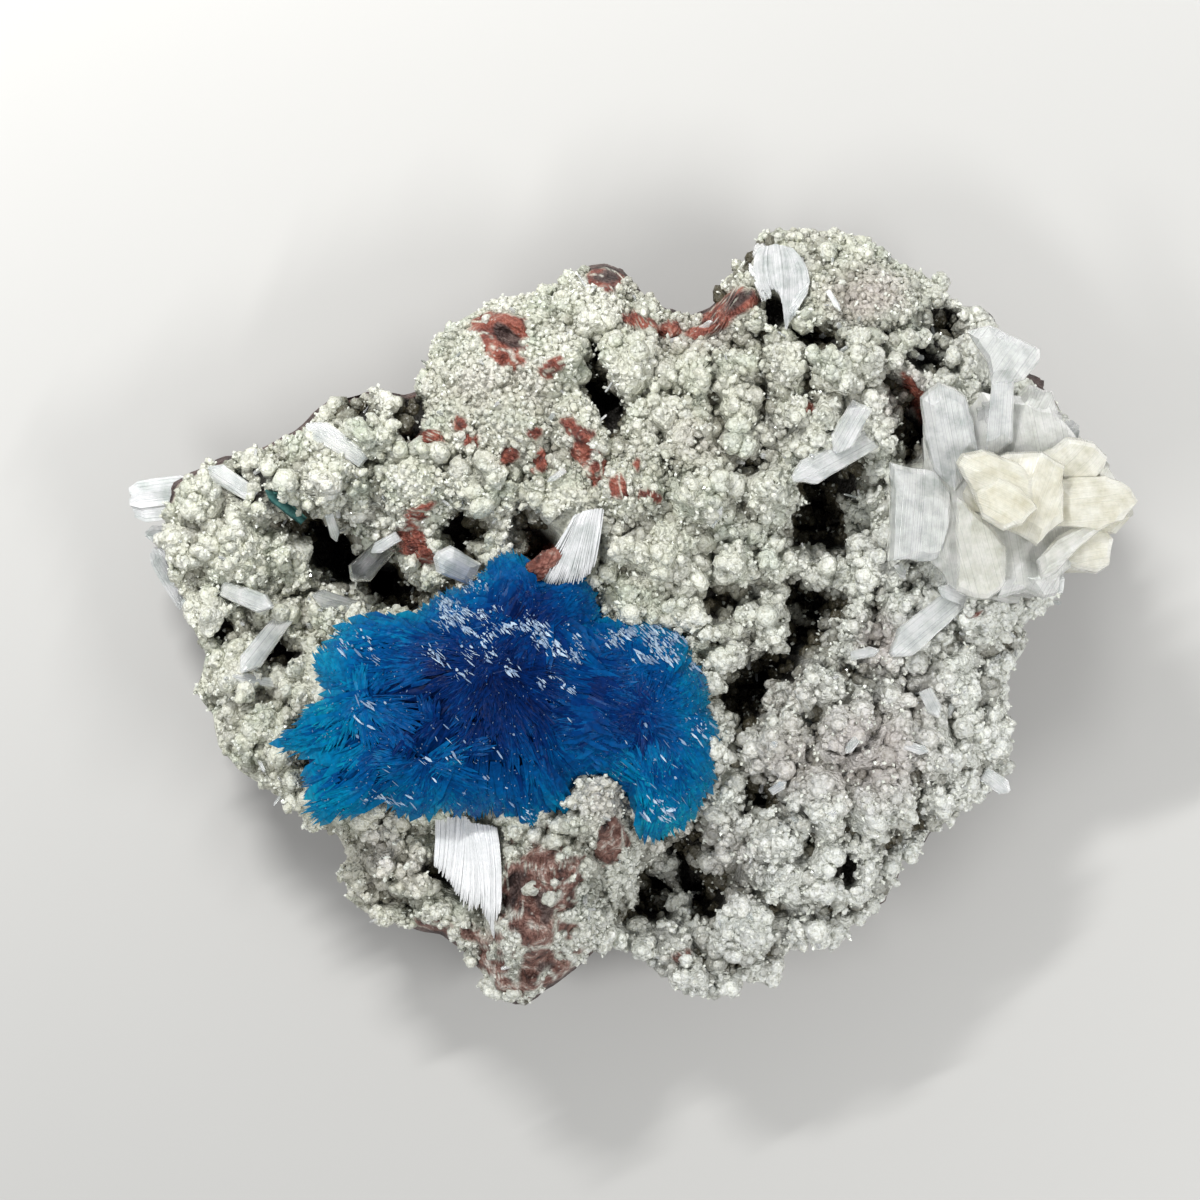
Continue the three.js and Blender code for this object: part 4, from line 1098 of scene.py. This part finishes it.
def add_crust(surface, material, box, rng):
    """The crust: its clumps and its grains, each as a left and a right piece."""
    clumps = crust_clumps(surface, rng)
    grains = crust_grains(surface, clumps, rng)
    tops = np.concatenate([clumps[0], grains[0], surface[0][: len(surface[0]) // 2]])
    groups = []
    for name, balls, around, polar in (
        ("crust_clumps", clumps, 6, [36, 76, 120]),
        ("crust_grains", grains, 5, [46, 98]),
    ):
        left = balls[0][:, 0] < np.median(balls[0][:, 0])
        groups += [
            (f"{name}_left", *(values[left] for values in balls), around, polar),
            (f"{name}_right", *(values[~left] for values in balls), around, polar),
        ]
    pieces = []
    for name, place, size, aim, around, polar in groups:
        shapes, faces = ball_shapes(rng, BALL_KINDS, around, polar)
        place = held_inside(place, size, box)
        count, each = len(place), shapes.shape[1]
        pick = rng.integers(0, len(shapes), count)
        stretch = size[:, None] * (0.66 + 0.62 * rng.random((count, 3)))
        tint = tint_of(place[:, 0], place[:, 1]) + 0.14 * (rng.random(count) - 0.5)
        values = {
            "tint": np.clip(tint, 0, 1),
            # painted shade in the hollows between clumps
            "painted_hollow_shade": cavity(place, tops),
            "shade": rng.random(count),
            "cool": cool_share(place[:, 0], place[:, 1]),
        }
        pieces.append(
            mesh_piece(
                name,
                copies(shapes, pick, frames_on(aim, rng), stretch, place),
                tiled(faces, each, count),
                material,
                smooth=True,
                **{label: np.repeat(value, each) for label, value in values.items()},
            )
        )
    everything = [np.concatenate(pair) for pair in zip(clumps, grains)]
    return pieces, everything


def add_amygdules(surface, material, rng):
    """Flat white fillings of gas bubbles, each set in the rock point nearest to its place."""
    points = surface[0][: len(surface[0]) // 2]
    shapes, faces = ball_shapes(rng, 6, 14, [25, 50, 75, 100, 130])
    at = np.array([spot(px, FACE_HEIGHT)[:2] for px, _ in AMYGDULES])
    nearest = np.linalg.norm(points[None, :, :2] - at[:, None], axis=-1).argmin(1)
    radius = np.array([radius for _, radius in AMYGDULES])
    sizes = np.stack([radius, radius * 0.7, 0.35 * radius], -1)
    place = points[nearest] + [0, 0, 0.1]
    up = unit(np.array([0, 0, 1.0]) + 0.2 * rng.normal(size=place.shape))
    pick = rng.integers(0, len(shapes), len(place))
    mesh_points = copies(shapes, pick, frames_on(up, rng), sizes, place)
    tiles = tiled(faces, shapes.shape[1], len(place))
    # the amygdules are given a little painted shade
    looks = {"tint": 0.0, "painted_hollow_shade": 0.25, "shade": 0.5, "cool": 0.5}
    values = {label: np.full(len(mesh_points), value) for label, value in looks.items()}
    return mesh_piece("basalt_amygdules", mesh_points, tiles, material, smooth=True, **values)


def add_rock_chip(material, rng):
    """The flake of bare rock that the white fan grows over, a flattened lump with a broken edge."""
    shapes, faces = ball_shapes(rng, 1, 22, [20, 40, 60, 80, 100, 130])
    broken = 1 + 0.5 * noise(shapes[0], 0.6, 61.0) + 0.25 * noise(shapes[0], 0.25, 62.0)
    place, half, degrees = ROCK_FLAKE
    points = shapes[0] * broken[:, None] * half
    angle = np.radians(degrees)
    turn = np.array([(np.cos(angle), np.sin(angle), 0), (-np.sin(angle), np.cos(angle), 0), (0, 0, 1)])
    points = points @ turn + on_face(place)
    looks = {"bare": 1.0, "rust": 0.55, "painted_hollow_shade": 0.0, "wall": 0.0, "tint": 0.0, "cool": 0.0, "shade": 0.0}
    values = {label: np.full(len(points), value) for label, value in looks.items()}
    return mesh_piece("fan_rock_flake", points, faces, material, smooth=True, **values)


def add_druse(balls, material, box, rng):
    """Small glassy crystals all over the crust: each a stretched four-sided double pyramid."""
    place, size, aim = balls
    count = DRUSE_POINTS
    owner = rng.integers(0, len(place), count)
    aim = unit(aim[owner] + 0.8 * rng.normal(size=(count, 3)) + np.array([0, 0, 0.4]))
    width = 0.13 + 0.2 * rng.random(count) ** 2
    root = held_inside(place[owner] + aim * (0.95 * size[owner])[:, None], 2.5 * width, box)
    angle = np.linspace(0, TURN, 4, endpoint=False)
    ring = np.stack([np.cos(angle), np.sin(angle), 0 * angle + 0.6], -1)[None]
    shape, faces = closed_rings(np.array([0, 0, 1.3]), ring, np.array([0, 0, -1.0]))
    sizes = np.stack([width, width, 1.6 * width], -1)
    turned = unit(aim + 0.6 * rng.normal(size=(count, 3)))
    points = copies(shape[None], np.zeros(count, int), frames_on(turned, rng), sizes, root)
    return mesh_piece("crust_druse_points", points, tiled(faces, len(shape), count), material)


# The rosette


def fan_base(fan):
    """A fan's centre, and its outline as the distance from there at any angle."""
    apex, edge, _, outline = fan
    centre = spot(apex, edge)
    return centre, outline_radius(spot(outline, edge), centre)


def dome(share):
    """A fan's dome, from 1 at its centre to 0 on its outline: 1 - share^2 to a power under 1."""
    return np.maximum(1 - share**2, 0) ** DOME_POWER


def fan_height(fan, x, y):
    """A fan's dome over a plan point, and how far out on it the point lies (1 on its outline)."""
    _, edge, crown, _ = fan
    centre, radius = fan_base(fan)
    dx, dy = x - centre[0], y - centre[1]
    out = np.hypot(dx, dy) / radius(np.arctan2(dy, dx))
    return edge + (crown - edge) * dome(out) - np.maximum(out - 1, 0) * 6, out


def rosette_height(x, y):
    """The highest fan over a plan point, and the least share out on any fan."""
    heights, outs = zip(*(fan_height(fan, x, y) for fan in ROSETTE_FANS))
    return np.max(heights, 0), np.min(outs, 0)


def rosette_core(fan):
    """A fan's pleated body: the dome drawn in a little from the outline, and a cone down to the rock."""
    _, edge, crown, _ = fan
    centre, radius = fan_base(fan)
    angle = np.linspace(0, TURN, CORE_SIDES, endpoint=False)
    pleat = np.where(np.arange(CORE_SIDES) % 2, -0.5, 0.0)
    shares = CORE_DOME[:, None]
    upper_z = edge - 0.7 + (crown - edge) * dome(shares) + pleat * shares
    lower = CORE_CONE[:, None]
    lower_z = edge - 2 - (edge - CORE_FOOT - 1) * (1 - lower / CORE_DOME[-1]) ** 1.3 + 0 * angle
    out = np.concatenate([shares + 0 * angle, lower + 0 * angle])
    reach = out * radius(angle)
    z = np.concatenate([upper_z, lower_z])
    rings = np.stack([centre[0] + reach * np.cos(angle), centre[1] + reach * np.sin(angle), z], -1)
    top, foot = (np.array([*centre[:2], height]) for height in (crown - 0.7, CORE_FOOT))
    points, faces = closed_rings(top, rings, foot)
    return points, faces, np.concatenate([[0.0], out.ravel() * 0.6, [0.3]])


def rosette_tone(points, out):
    """How light a lath is: more with the share out on its fan and with the distance from the dark middle."""
    far = np.minimum(in_ellipse(points[:, 0], points[:, 1], *DARK_MIDDLE), 1)
    return 0.03 + 0.34 * out.ravel() ** 1.25 + 0.32 * far**1.2


def spray_laths(rng):
    """Plan start and end of each lath, with its lift and its shift of tone.

    A spray is a small fan of laths from one root. On each of the rosette's fans the sprays head away from
    the apex and end anywhere up to the outline, and each further spray centre has sprays of its own."""
    roots, headings, reaches, shifts = [], [], [], []
    for fan, (amount, lighter) in zip(ROSETTE_FANS, FAN_SPRAYS):
        centre, radius_at = fan_base(fan)
        angle = rng.random(amount) * TURN
        radius = radius_at(angle)
        at_edge = rng.random(amount) < 0.45
        tip = np.where(at_edge, 0.93 + 0.09 * rng.random(amount), rng.random(amount) ** 0.6)
        reach = np.minimum(3.2 + 4.6 * rng.random(amount), 0.85 * radius)
        far = np.maximum(tip * radius, reach * 0.7)
        roots.append(centre[:2] + directions(angle) * (far - reach)[:, None])
        headings.append(angle + 0.2 * rng.normal(size=amount))
        reaches.append(reach)
        shifts.append(lighter + 0.07 * rng.normal(size=amount))
    for at, reach, amount, lighter in ROSETTE_SPRAYS:
        centre = spot(at, SPRAY_LEVEL)[:2]
        angle = rng.random(amount) * TURN
        length = np.minimum(2.4 + 3.4 * rng.random(amount), reach)
        far = reach * (0.3 + 0.7 * rng.random(amount) ** 0.7)
        roots.append(centre + directions(angle) * np.maximum(far - length, 0.1)[:, None])
        headings.append(angle + 0.12 * rng.normal(size=amount))
        reaches.append(length)
        shifts.append(lighter + 0.06 * rng.normal(size=amount))
    root, heading, reach, shift = (np.concatenate(v) for v in (roots, headings, reaches, shifts))
    size = (len(root), SPRAY_LATHS)
    spread = 0.34 * (2 * rng.random(size) - 1)
    length = reach[:, None] * (0.62 + 0.4 * rng.random(size)) * np.cos(0.9 * spread)
    start = root[:, None] + 0.5 * rng.normal(size=(*size, 2))
    end = start + length[..., None] * directions(heading[:, None] + spread)
    lift = (0.05 + 0.2 * rng.random(len(root)) ** 1.5)[:, None] + 0.06 * rng.normal(size=size)
    shift = shift[:, None] + 0.035 * rng.normal(size=size)
    return start.reshape(-1, 2), end.reshape(-1, 2), lift.ravel(), shift.ravel()


def laths_along(start, end, lift, half_width, half_thick, roll):
    """Pointed laths over the rosette: three-sided sections at two stations, drawn to a tip. Their spines
    follow the rosette's height and rise above it towards the tip by the lift."""
    share = np.array([0.0, 0.65, 1.0])
    plan = start[:, None] + (end - start)[:, None] * share[None, :, None]
    surface, out = rosette_height(plan[..., 0], plan[..., 1])
    spine = np.concatenate([plan, (surface - 0.3 + (lift[:, None] + 0.3) * share)[..., None]], -1)
    along = unit(spine[:, 1:2] - spine[:, 0:1])
    across = unit(np.cross(np.array([0, 0, 1.0]), along))
    upward = np.cross(along, across)
    turn = roll[:, None, None]
    across, upward = (
        across * np.cos(turn) + upward * np.sin(turn),
        upward * np.cos(turn) - across * np.sin(turn),
    )
    wide = half_width[:, None, None] * np.array([0.7, 1.0])[None, :, None]
    ridge = half_thick[:, None, None]
    base = spine[:, :2]
    sections = np.stack([base + across * wide, base + upward * ridge, base - across * wide], 2)
    points = np.concatenate([sections.reshape(len(start), 6, 3), spine[:, 2:3]], 1)
    i = np.arange(3)
    j = (i + 1) % 3
    quads = np.stack([i, j, 3 + j, 3 + i], -1)
    tips = np.stack([3 + i, 3 + j, 0 * i + 6], -1)
    faces = np.concatenate([quads[:, [0, 1, 2]], quads[:, [0, 2, 3]], tips, [[0, 2, 1]]])
    out = np.concatenate([np.repeat(out[:, :2], 3, axis=1), out[:, 2:3]], 1)
    station = np.concatenate([np.repeat(share[:2], 3), share[2:3]])
    return points.reshape(-1, 3), tiled(faces, 7, len(start)), out, station


def rosette_laths(rng):
    """The rosette's laths, darker near the middle and at their roots and lighter at their tips."""
    start, end, lift, shift = spray_laths(rng)
    _, out = rosette_height(end[:, 0], end[:, 1])
    kept = out < 1.03
    start, end, lift, shift = start[kept], end[kept], lift[kept], shift[kept]
    count = len(start)
    half_width = 0.12 + 0.22 * rng.random(count) ** 1.5
    half_thick = 0.04 + 0.05 * rng.random(count)
    roll = 0.22 * rng.normal(size=count)
    points, faces, out, station = laths_along(start, end, lift, half_width, half_thick, roll)
    tone = rosette_tone(points, out) + (shift[:, None] + 0.12 * station**2).ravel()
    return points, faces, np.clip(tone, 0, 1), 0 * tone


def edge_blades(rng):
    """Broad pointed blades that end on each fan's outline and give it its teeth, in three tiers."""
    starts, ends, lifts = [], [], []
    for fan, teeth in zip(ROSETTE_FANS, FAN_TEETH):
        centre, radius_at = fan_base(fan)
        for tier, (far, length) in enumerate(((1.0, 4.0), (0.96, 5.0), (0.9, 6.0))):
            angle = (np.arange(teeth) + 0.35 * tier + 0.5 * rng.random(teeth)) / teeth * TURN
            tip = radius_at(angle) * far * (0.97 + 0.05 * rng.random(teeth))
            away = directions(angle)
            lean = 0.12 * rng.normal(size=(teeth, 1)) * np.stack([-away[:, 1], away[:, 0]], -1)
            ends.append(centre[:2] + away * tip[:, None])
            starts.append(centre[:2] + away * (tip - length)[:, None] + lean * length)
            lifts.append(-0.15 + 0.12 * tier + 0.22 * rng.random(teeth))
    start, end, lift = np.concatenate(starts), np.concatenate(ends), np.concatenate(lifts)
    count = len(start)
    half_width = 0.55 + 0.5 * rng.random(count)
    roll = 0.14 * rng.normal(size=count)
    points, faces, out, station = laths_along(start, end, lift, half_width, np.full(count, 0.08), roll)
    lighter = 0.03 + 0.12 * station**2 + 0.06 * rng.normal(size=(count, 1))
    tone = rosette_tone(points, out) + lighter.ravel()
    return points, faces, np.clip(tone, 0, 1), 0 * tone


def glint_laths(rng):
    """Painted glints: short laths coloured white in patches on the rosette's upper slopes, where cleaved
    blades catch the light, all slanting down to the right, and single tiny ones at any angle all over it."""
    middles, halves, amounts = zip(*GLINT_PATCHES)
    amounts = np.array(amounts)
    owner = np.repeat(np.arange(len(amounts)), amounts)
    px = np.array(middles)[owner] + 0.6 * rng.normal(size=(len(owner), 2)) * np.array(halves)[owner]
    low, high = np.min(ROSETTE_FANS[0][3], 0), np.max(ROSETTE_FANS[1][3], 0)
    everywhere = low + (high - low) * rng.random((SPARKLES, 2))
    start = spot(np.concatenate([px, everywhere]), SPRAY_LEVEL)[:, :2]
    count = len(start)
    tiny = np.arange(count) >= len(owner)
    slanted = np.radians(GLINT_HEADING)
    heading = np.where(tiny, TURN * rng.random(count), slanted + 0.2 * rng.normal(size=count))
    length = np.where(tiny, 0.12 + 0.2 * rng.random(count), 0.4 + 1.7 * rng.random(count) ** 2)
    width = np.where(tiny, 0.03 + 0.05 * rng.random(count), 0.04 + 0.16 * rng.random(count) ** 2)
    end = start + length[:, None] * directions(heading)
    inside = rosette_height(end[:, 0], end[:, 1])[1] < 0.95
    # how far each glint lath's colour is painted pale blue-white, as a painted highlight
    frost = np.where(tiny, 0.1 + 0.4 * rng.random(count), 0.2 + 0.65 * rng.random(count))[inside]
    start, end, width = start[inside], end[inside], width[inside]
    count = len(start)
    lift = 0.3 + 0.25 * rng.random(count)
    roll = 0.15 * rng.normal(size=count)
    points, faces, _, _ = laths_along(start, end, lift, width, np.full(count, 0.04), roll)
    points[:, 2] += 0.2
    return points, faces, np.full(len(points), 0.5), np.repeat(frost, len(points) // count)


def add_rosette(material, rng):
    """The rosette: its core, its laths and its painted glints, as one piece."""
    cores = joined([rosette_core(fan) for fan in ROSETTE_FANS])
    laths = [(*cores, 0 * cores[2]), rosette_laths(rng), edge_blades(rng), glint_laths(rng)]
    points, faces, tone = joined([lath[:3] for lath in laths])
    frost = np.concatenate([lath[3] for lath in laths])
    return mesh_piece("rosette_blades", points, faces, material, tone=tone, frost=frost)


# The stilbite crystals


def strands(starts, bends, ends, half_width, half_thick, facing, lane, blunt):
    """Six-sided strands along quadratic curves from starts through bends to ends, each with a blunt point.
    The third value is the place across the strand in mm, from which the material draws its lines."""
    share = np.array([1.0, 0.94, 0.84, 0.5, 0.2, 0.0])
    s = share[None, :, None]
    path = (1 - s) ** 2 * starts[:, None] + 2 * s * (1 - s) * bends[:, None] + s**2 * ends[:, None]
    along = unit(2 * (1 - s) * (bends - starts)[:, None] + 2 * s * (ends - bends)[:, None])
    across = unit(np.cross(facing[:, None], along))
    through = np.cross(along, across)
    scale = np.array([blunt, 0.35 + 0.65 * blunt, 1, 1, 1, 0.85])[None, :, None, None]
    corners = np.array([(1, 0), (0.82, 1), (-0.82, 1), (-1, 0), (-0.82, -1), (0.82, -1)])
    wide = corners[None, None, :, :1] * half_width[:, None, None, None] * scale
    tall = corners[None, None, :, 1:] * half_thick[:, None, None, None] * (0.4 + 0.6 * scale)
    rings = path[:, :, None] + across[:, :, None] * wide + through[:, :, None] * tall
    count = len(starts)
    points = np.concatenate([path[:, :1], rings.reshape(count, -1, 3), path[:, -1:]], 1)
    aside = np.concatenate([[0], np.tile(corners[:, 0], len(share)), [0]])
    lanes = lane[:, None] + aside * half_width[:, None]
    _, faces = closed_rings(path[0, 0], rings[0], path[0, -1])
    return points.reshape(-1, 3), tiled(faces, points.shape[1], count), lanes.ravel()


def bundle(root, tip, width, thick, foot, shoulder, point, seed, blades=5):
    """A tabular crystal of flat blades grown side by side, each over part of its neighbour. They spread from
    the foot to the shoulder, close again to a chisel point, and differ a little in length and tilt."""
    length = np.linalg.norm(tip - root)
    along = (tip - root) / length
    across = unit(np.cross([0, 0, 1.0], along))
    through = np.cross(along, across)
    lane = np.arange(blades)
    u = (lane + 0.5) / blades * 2 - 1
    random = [chance(lane + 1, seed + k) - 0.5 for k in range(6)]
    reach = length * (1 - (1 - shoulder) * (1 - point) * 0.9 * np.abs(u) ** 1.4 - 0.08 * (random[0] + 0.5))
    half = width / 2
    level = (0.16 * thick * random[1] * (1 - 0.4 * np.abs(u)))[:, None] * through
    inner = 0.78 * u
    starts = root + across * (foot * inner * half)[:, None] + level * foot
    bends = root + along * (0.5 * reach)[:, None] + across * (inner * half * 1.04)[:, None] + level
    ends = root + along * reach[:, None] + across * ((0.35 * point + 0.6) * inner * half)[:, None] + level
    half_width = np.minimum(half / blades * (2.3 + 0.8 * random[3]), 0.75 * half)
    half_thick = thick * (0.42 + 0.08 * random[4]) * (1 - 0.3 * u**2)
    facing = through + across * (0.14 * random[5] + 0.2 * u)[:, None]
    place = u * half + 11 * seed
    return strands(starts, bends, ends, half_width, half_thick, facing, place, 0.2 + 0.4 * point)


def tablet(outline, through, along, thick, seed):
    """A tabular crystal: its outline as points of a plane, with edges a little broken. Its top facet lies
    off centre, which makes the bevels round it uneven."""
    share = (np.arange(TABLET_SIDE_PARTS) / TABLET_SIDE_PARTS)[None, :, None]
    side = np.roll(outline, -1, 0) - outline
    edge = (outline[:, None] + side[:, None] * share).reshape(-1, 3)
    across = unit(np.cross(through, along))
    middle = edge.mean(0)
    away = (edge - middle) * (1 + 0.06 * noise(edge, 1.2, seed))[:, None]
    shift = 0.22 * (chance(seed, 1) - 0.5) * np.ptp(away @ along) * along
    shift = shift + 0.3 * (chance(seed, 2) - 0.5) * np.ptp(away @ across) * across
    rings = []
    for inset, level, move in TABLET_RINGS:
        rings.append(middle + 1.03 * inset * away + level * thick * through + move * shift)
    top = middle + shift + 0.53 * thick * through
    points, faces = closed_rings(top, np.array(rings), middle - 0.5 * thick * through)
    return points, faces, points @ across + 11 * seed


def blade_outline(root, tip, width, foot, shoulder, point, seed):
    """The six corners of a blade from its root to its tip: foot, shoulders and a chisel point off centre."""
    along = tip - root
    across = unit(np.cross([0, 0, 1.0], along)) * width / 2
    slant = 0.3 * (chance(seed, 8) - 0.5)
    corners = [(0, foot), (shoulder + slant * 0.4, 1), (1, 0.3 * point + slant), (1, slant - 0.3 * point)]
    corners += [(shoulder - slant * 0.4, -1), (0, -foot)]
    return np.array([root + along * far + across * aside for far, aside in corners])


def blade(start, end, width, thick, foot, shoulder, point, seed):
    """A tablet with the outline of a blade from start to end, level across its length."""
    along = unit(end - start)
    through = np.cross(along, unit(np.cross([0, 0, 1.0], along)))
    return tablet(blade_outline(start, end, width, foot, shoulder, point, seed), through, along, thick, seed)


def edge_points(edge, count, lift):
    """Evenly spaced places along an edge given by pixels, at a lift over the face."""
    edge = np.array(edge, float)
    share = np.linspace(0, 1, len(edge))
    at = np.linspace(0, 1, count)
    px = np.stack([np.interp(at, share, edge[:, k]) for k in (0, 1)], -1)
    return on_face(np.column_stack([px, np.full(count, lift)]))


def add_crystals(material, teal):
    """Each single crystal as its own piece, in the place of its solid."""
    pieces = []
    for seed, (node, *shape) in enumerate([*CRYSTALS, SMALL_CAVANSITE]):
        if node in SHEETS:
            points, faces, lane = strand_sheet(*SHEETS[node], seed)
        else:
            root, tip, width, thick, *shares = shape
            start, end = on_face(root), on_face(tip)
            if node in SHEAVES:
                points, faces, lane = bundle(start, end, width, thick, *shares, seed + 1)
            else:
                start = start - [0, 0, ROOT_DEPTH]
                points, faces, lane = blade(start, end, width, 0.8 * thick, *shares, seed + 1)
        if node == SMALL_CAVANSITE[0]:
            values = {"tone": lane % 1, "frost": np.zeros(len(points))}
            piece = mesh_piece("small_fan_blades", points, faces, teal, **values)
        else:
            clear = np.full(len(points), CLEARNESS.get(node, 1.0))
            name = node.replace("stilbite", "crystal")
            piece = mesh_piece(name, points, faces, material, cream=0 * clear, lane=lane, clear=clear)
        pieces.append((piece, node))
    return pieces


def strand_sheet(top, bend, bottom, lifts, count, thick, seed):
    """A fibrous sheet: strands from points along one edge through a bend line to points along the other."""
    lane = np.arange(count)
    lines = [edge_points(edge, count, lift) for edge, lift in zip((top, bend, bottom), lifts)]
    stray = np.stack([chance(lane, seed + k) - 0.5 for k in (1, 2, 3)], -1)
    ends = lines[2] + (lines[2] - lines[1]) * (0.3 * stray[:, :1]) + stray * 0.3
    gap = np.linalg.norm(lines[1][-1] - lines[1][0]) / count
    half_width = gap * (1.5 + 0.8 * stray[:, 0])
    facing = np.array([0, 0, 1.0]) + 0.55 * stray
    half_thick = thick * (0.5 + 0.4 * stray[:, 1])
    starts, bends = lines[0] + 0.15 * stray, lines[1] + 0.2 * stray
    return strands(starts, bends, ends, half_width, half_thick, facing, gap * lane, 0.3)


def add_small_crystals(balls, material, rng):
    """The small white crystals: those that are placed one by one, and more scattered over the crust."""
    parts = []
    for seed, (root, tip, width) in enumerate(SMALL_CRYSTALS):
        parts.append(blade(on_face(root), on_face(tip), width, 0.5 * width, 0.9, 0.75, 0.6, seed + 71))
    place, size, aim = balls
    count = SCATTERED_CRYSTALS
    inner = np.flatnonzero(np.all(np.abs(place[:, :2]) < SCATTERED_WITHIN, axis=1))
    owner = rng.choice(inner, count)
    aim = unit(aim[owner] + 0.7 * rng.normal(size=(count, 3)) + np.array([0, 0, 0.2]))
    start = place[owner] + aim * (0.3 * size[owner])[:, None]
    end = start + aim * (size[owner] + 0.5 + 1.1 * rng.random(count) ** 2)[:, None]
    width = 0.16 + 0.22 * rng.random(count) ** 2
    facing = unit(rng.normal(size=(count, 3)))
    lane = 5 * rng.random(count)
    parts.append(strands(start, (start + end) / 2, end, width, 0.6 * width, facing, lane, 0.4))
    points, faces, lane = joined(parts)
    looks = {"cream": 0 * lane, "lane": lane, "clear": 0 * lane + 1}
    return mesh_piece("small_crystals", points, faces, material, **looks)


def with_cream(shape, cream):
    """A shape whose values are how cream it is and the place across it."""
    points, faces, lane = shape
    return points, faces, np.stack([np.full(len(points), cream), lane], -1)


def add_cluster(material):
    """The large cluster, its crystals and their common foot in one piece."""
    parts = []
    for seed, (root, tip, *shape, cream) in enumerate(CLUSTER):
        blades = 2 if cream > 0.4 else 5
        parts.append(with_cream(bundle(over_back(root), over_back(tip), *shape, seed + 31, blades), cream))
    for seed, (outline, height, slope, thick, turn, cream) in enumerate(CLUSTER_TABLETS):
        level = spot(outline, height)
        plane = spot(outline, height + (level - level.mean(0))[:, :2] @ slope)
        through = unit(np.array([-slope[0], -slope[1], 1.0]))
        along = np.array([*directions(np.radians(turn)), 0.0])
        along = unit(along - through * (along @ through))
        plane = plane - 0.5 * thick * through
        parts.append(with_cream(tablet(plane, through, along, thick, seed + 101), cream))
    polar = np.linspace(0.25, np.pi - 0.25, 9)[:, None]
    points, faces = ball(polar, np.linspace(0, TURN, 20, endpoint=False))
    place = points * CLUSTER_ROOT_HALF + over_back(CLUSTER_ROOT) - [0, 0, CLUSTER_ROOT_SUNK]
    parts.append(with_cream((place, faces, points[:, 0]), 0.5))
    points, faces, values = joined(parts)
    cream, lane = values.T
    looks = {"cream": cream, "lane": lane, "clear": 1.2 - 0.6 * cream}
    return mesh_piece("crystal_cluster", points, faces, material, **looks)


# The studio


def add_studio():
    """A pale floor, three soft lights that face the specimen, and the camera straight over the face."""
    floor_material, _, shader = new_material("pale_matt_floor")
    set_inputs(shader, Base_Color=linear("#bab9b6"), Roughness=0.9)
    corners = np.array([(-1, -1, 0), (1, -1, 0), (1, 1, 0), (-1, 1, 0)]) * FLOOR_HALF
    floor = mesh_piece("floor", corners, [(0, 1, 2, 3)], floor_material)
    scene = bpy.context.scene
    for name, place, size, power in LIGHTS:
        lamp = bpy.data.lights.new(name, "AREA")
        lamp.shape = "DISK"
        lamp.size = size
        lamp.energy = power
        light = bpy.data.objects.new(name, lamp)
        light.location = place
        x, y, z = unit(np.array([0, 0, FACE_HEIGHT * MM]) - np.array(place))
        light.rotation_euler = (np.arccos(-z), 0.0, np.arctan2(x, -y))
        scene.collection.objects.link(light)
    scene.world = bpy.data.worlds.new("studio")
    scene.world.use_nodes = True
    set_inputs(scene.world.node_tree.nodes["Background"], Color=linear("#e8ecf0"), Strength=WORLD_STRENGTH)
    lens = bpy.data.cameras.new("camera")
    lens.sensor_width = SENSOR_WIDTH
    lens.lens = SENSOR_WIDTH * VIEW_DISTANCE / (PHOTO_PX * MM_PER_PX)
    scene.camera = bpy.data.objects.new("camera", lens)
    across, along = (EYE_PX[0] - MIDDLE_PX[0]) * MM_PER_PX, (MIDDLE_PX[1] - EYE_PX[1]) * MM_PER_PX
    scene.camera.location = (across * MM, along * MM, (FACE_HEIGHT + VIEW_DISTANCE) * MM)
    scene.collection.objects.link(scene.camera)
    scene.view_settings.view_transform = "Standard"


def main():
    """Builds the specimen in the frame of its solids, and the studio round it."""
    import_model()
    cad_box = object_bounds()
    rng = np.random.default_rng(SEED)
    crust = drusy_crust()
    rock = broken_basalt()
    blue = cavansite("vitreous_cavansite", DEEP_BLUE)
    # the small fan's dull dark teal is partly painted shade from the hollow it lies in
    teal = cavansite("dull_green_cavansite_and_shade", DULL_TEAL_AND_SHADE)
    white = stilbite()

    surface = rock_surface()
    points, faces, bare, painted_hollow_shade, wall = surface
    points = np.clip(points, *(np.array(corner) / MM for corner in cad_box))
    rust = np.clip((points[:, 1] - spot(RUST_ABOVE_PX, FACE_HEIGHT)[1]) / 2, 0, 1)
    x, y = points[:, 0], points[:, 1]
    # the rock's crust is darkened in its hollows as painted shade
    looks = {"bare": bare, "painted_hollow_shade": painted_hollow_shade, "wall": wall, "rust": rust, "shade": 0.3 + 0 * bare}
    looks |= {"tint": tint_of(x, y), "cool": cool_share(x, y)}
    matrix = mesh_piece("rock_body", points, faces, rock, smooth=True, **looks)
    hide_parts("basalt_matrix")
    nodules, balls = add_crust(surface, crust, cad_box, rng)
    druse = add_druse(balls, quartz_points(), cad_box, rng)
    amygdules = add_amygdules(surface, crust, rng)
    rosette = add_rosette(blue, rng)
    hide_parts("cavansite_rosette")
    cluster = add_cluster(white)
    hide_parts("stilbite_cluster")
    singles = add_crystals(white, teal)
    small = add_small_crystals(balls, white, rng)
    chip = add_rock_chip(rock, rng)
    for piece, node in singles:
        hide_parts(node)
    grown = [matrix, *nodules, druse, amygdules, rosette, cluster, small, chip]
    for piece in grown + [piece for piece, _ in singles]:
        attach(piece, "root")

    add_studio()


main()
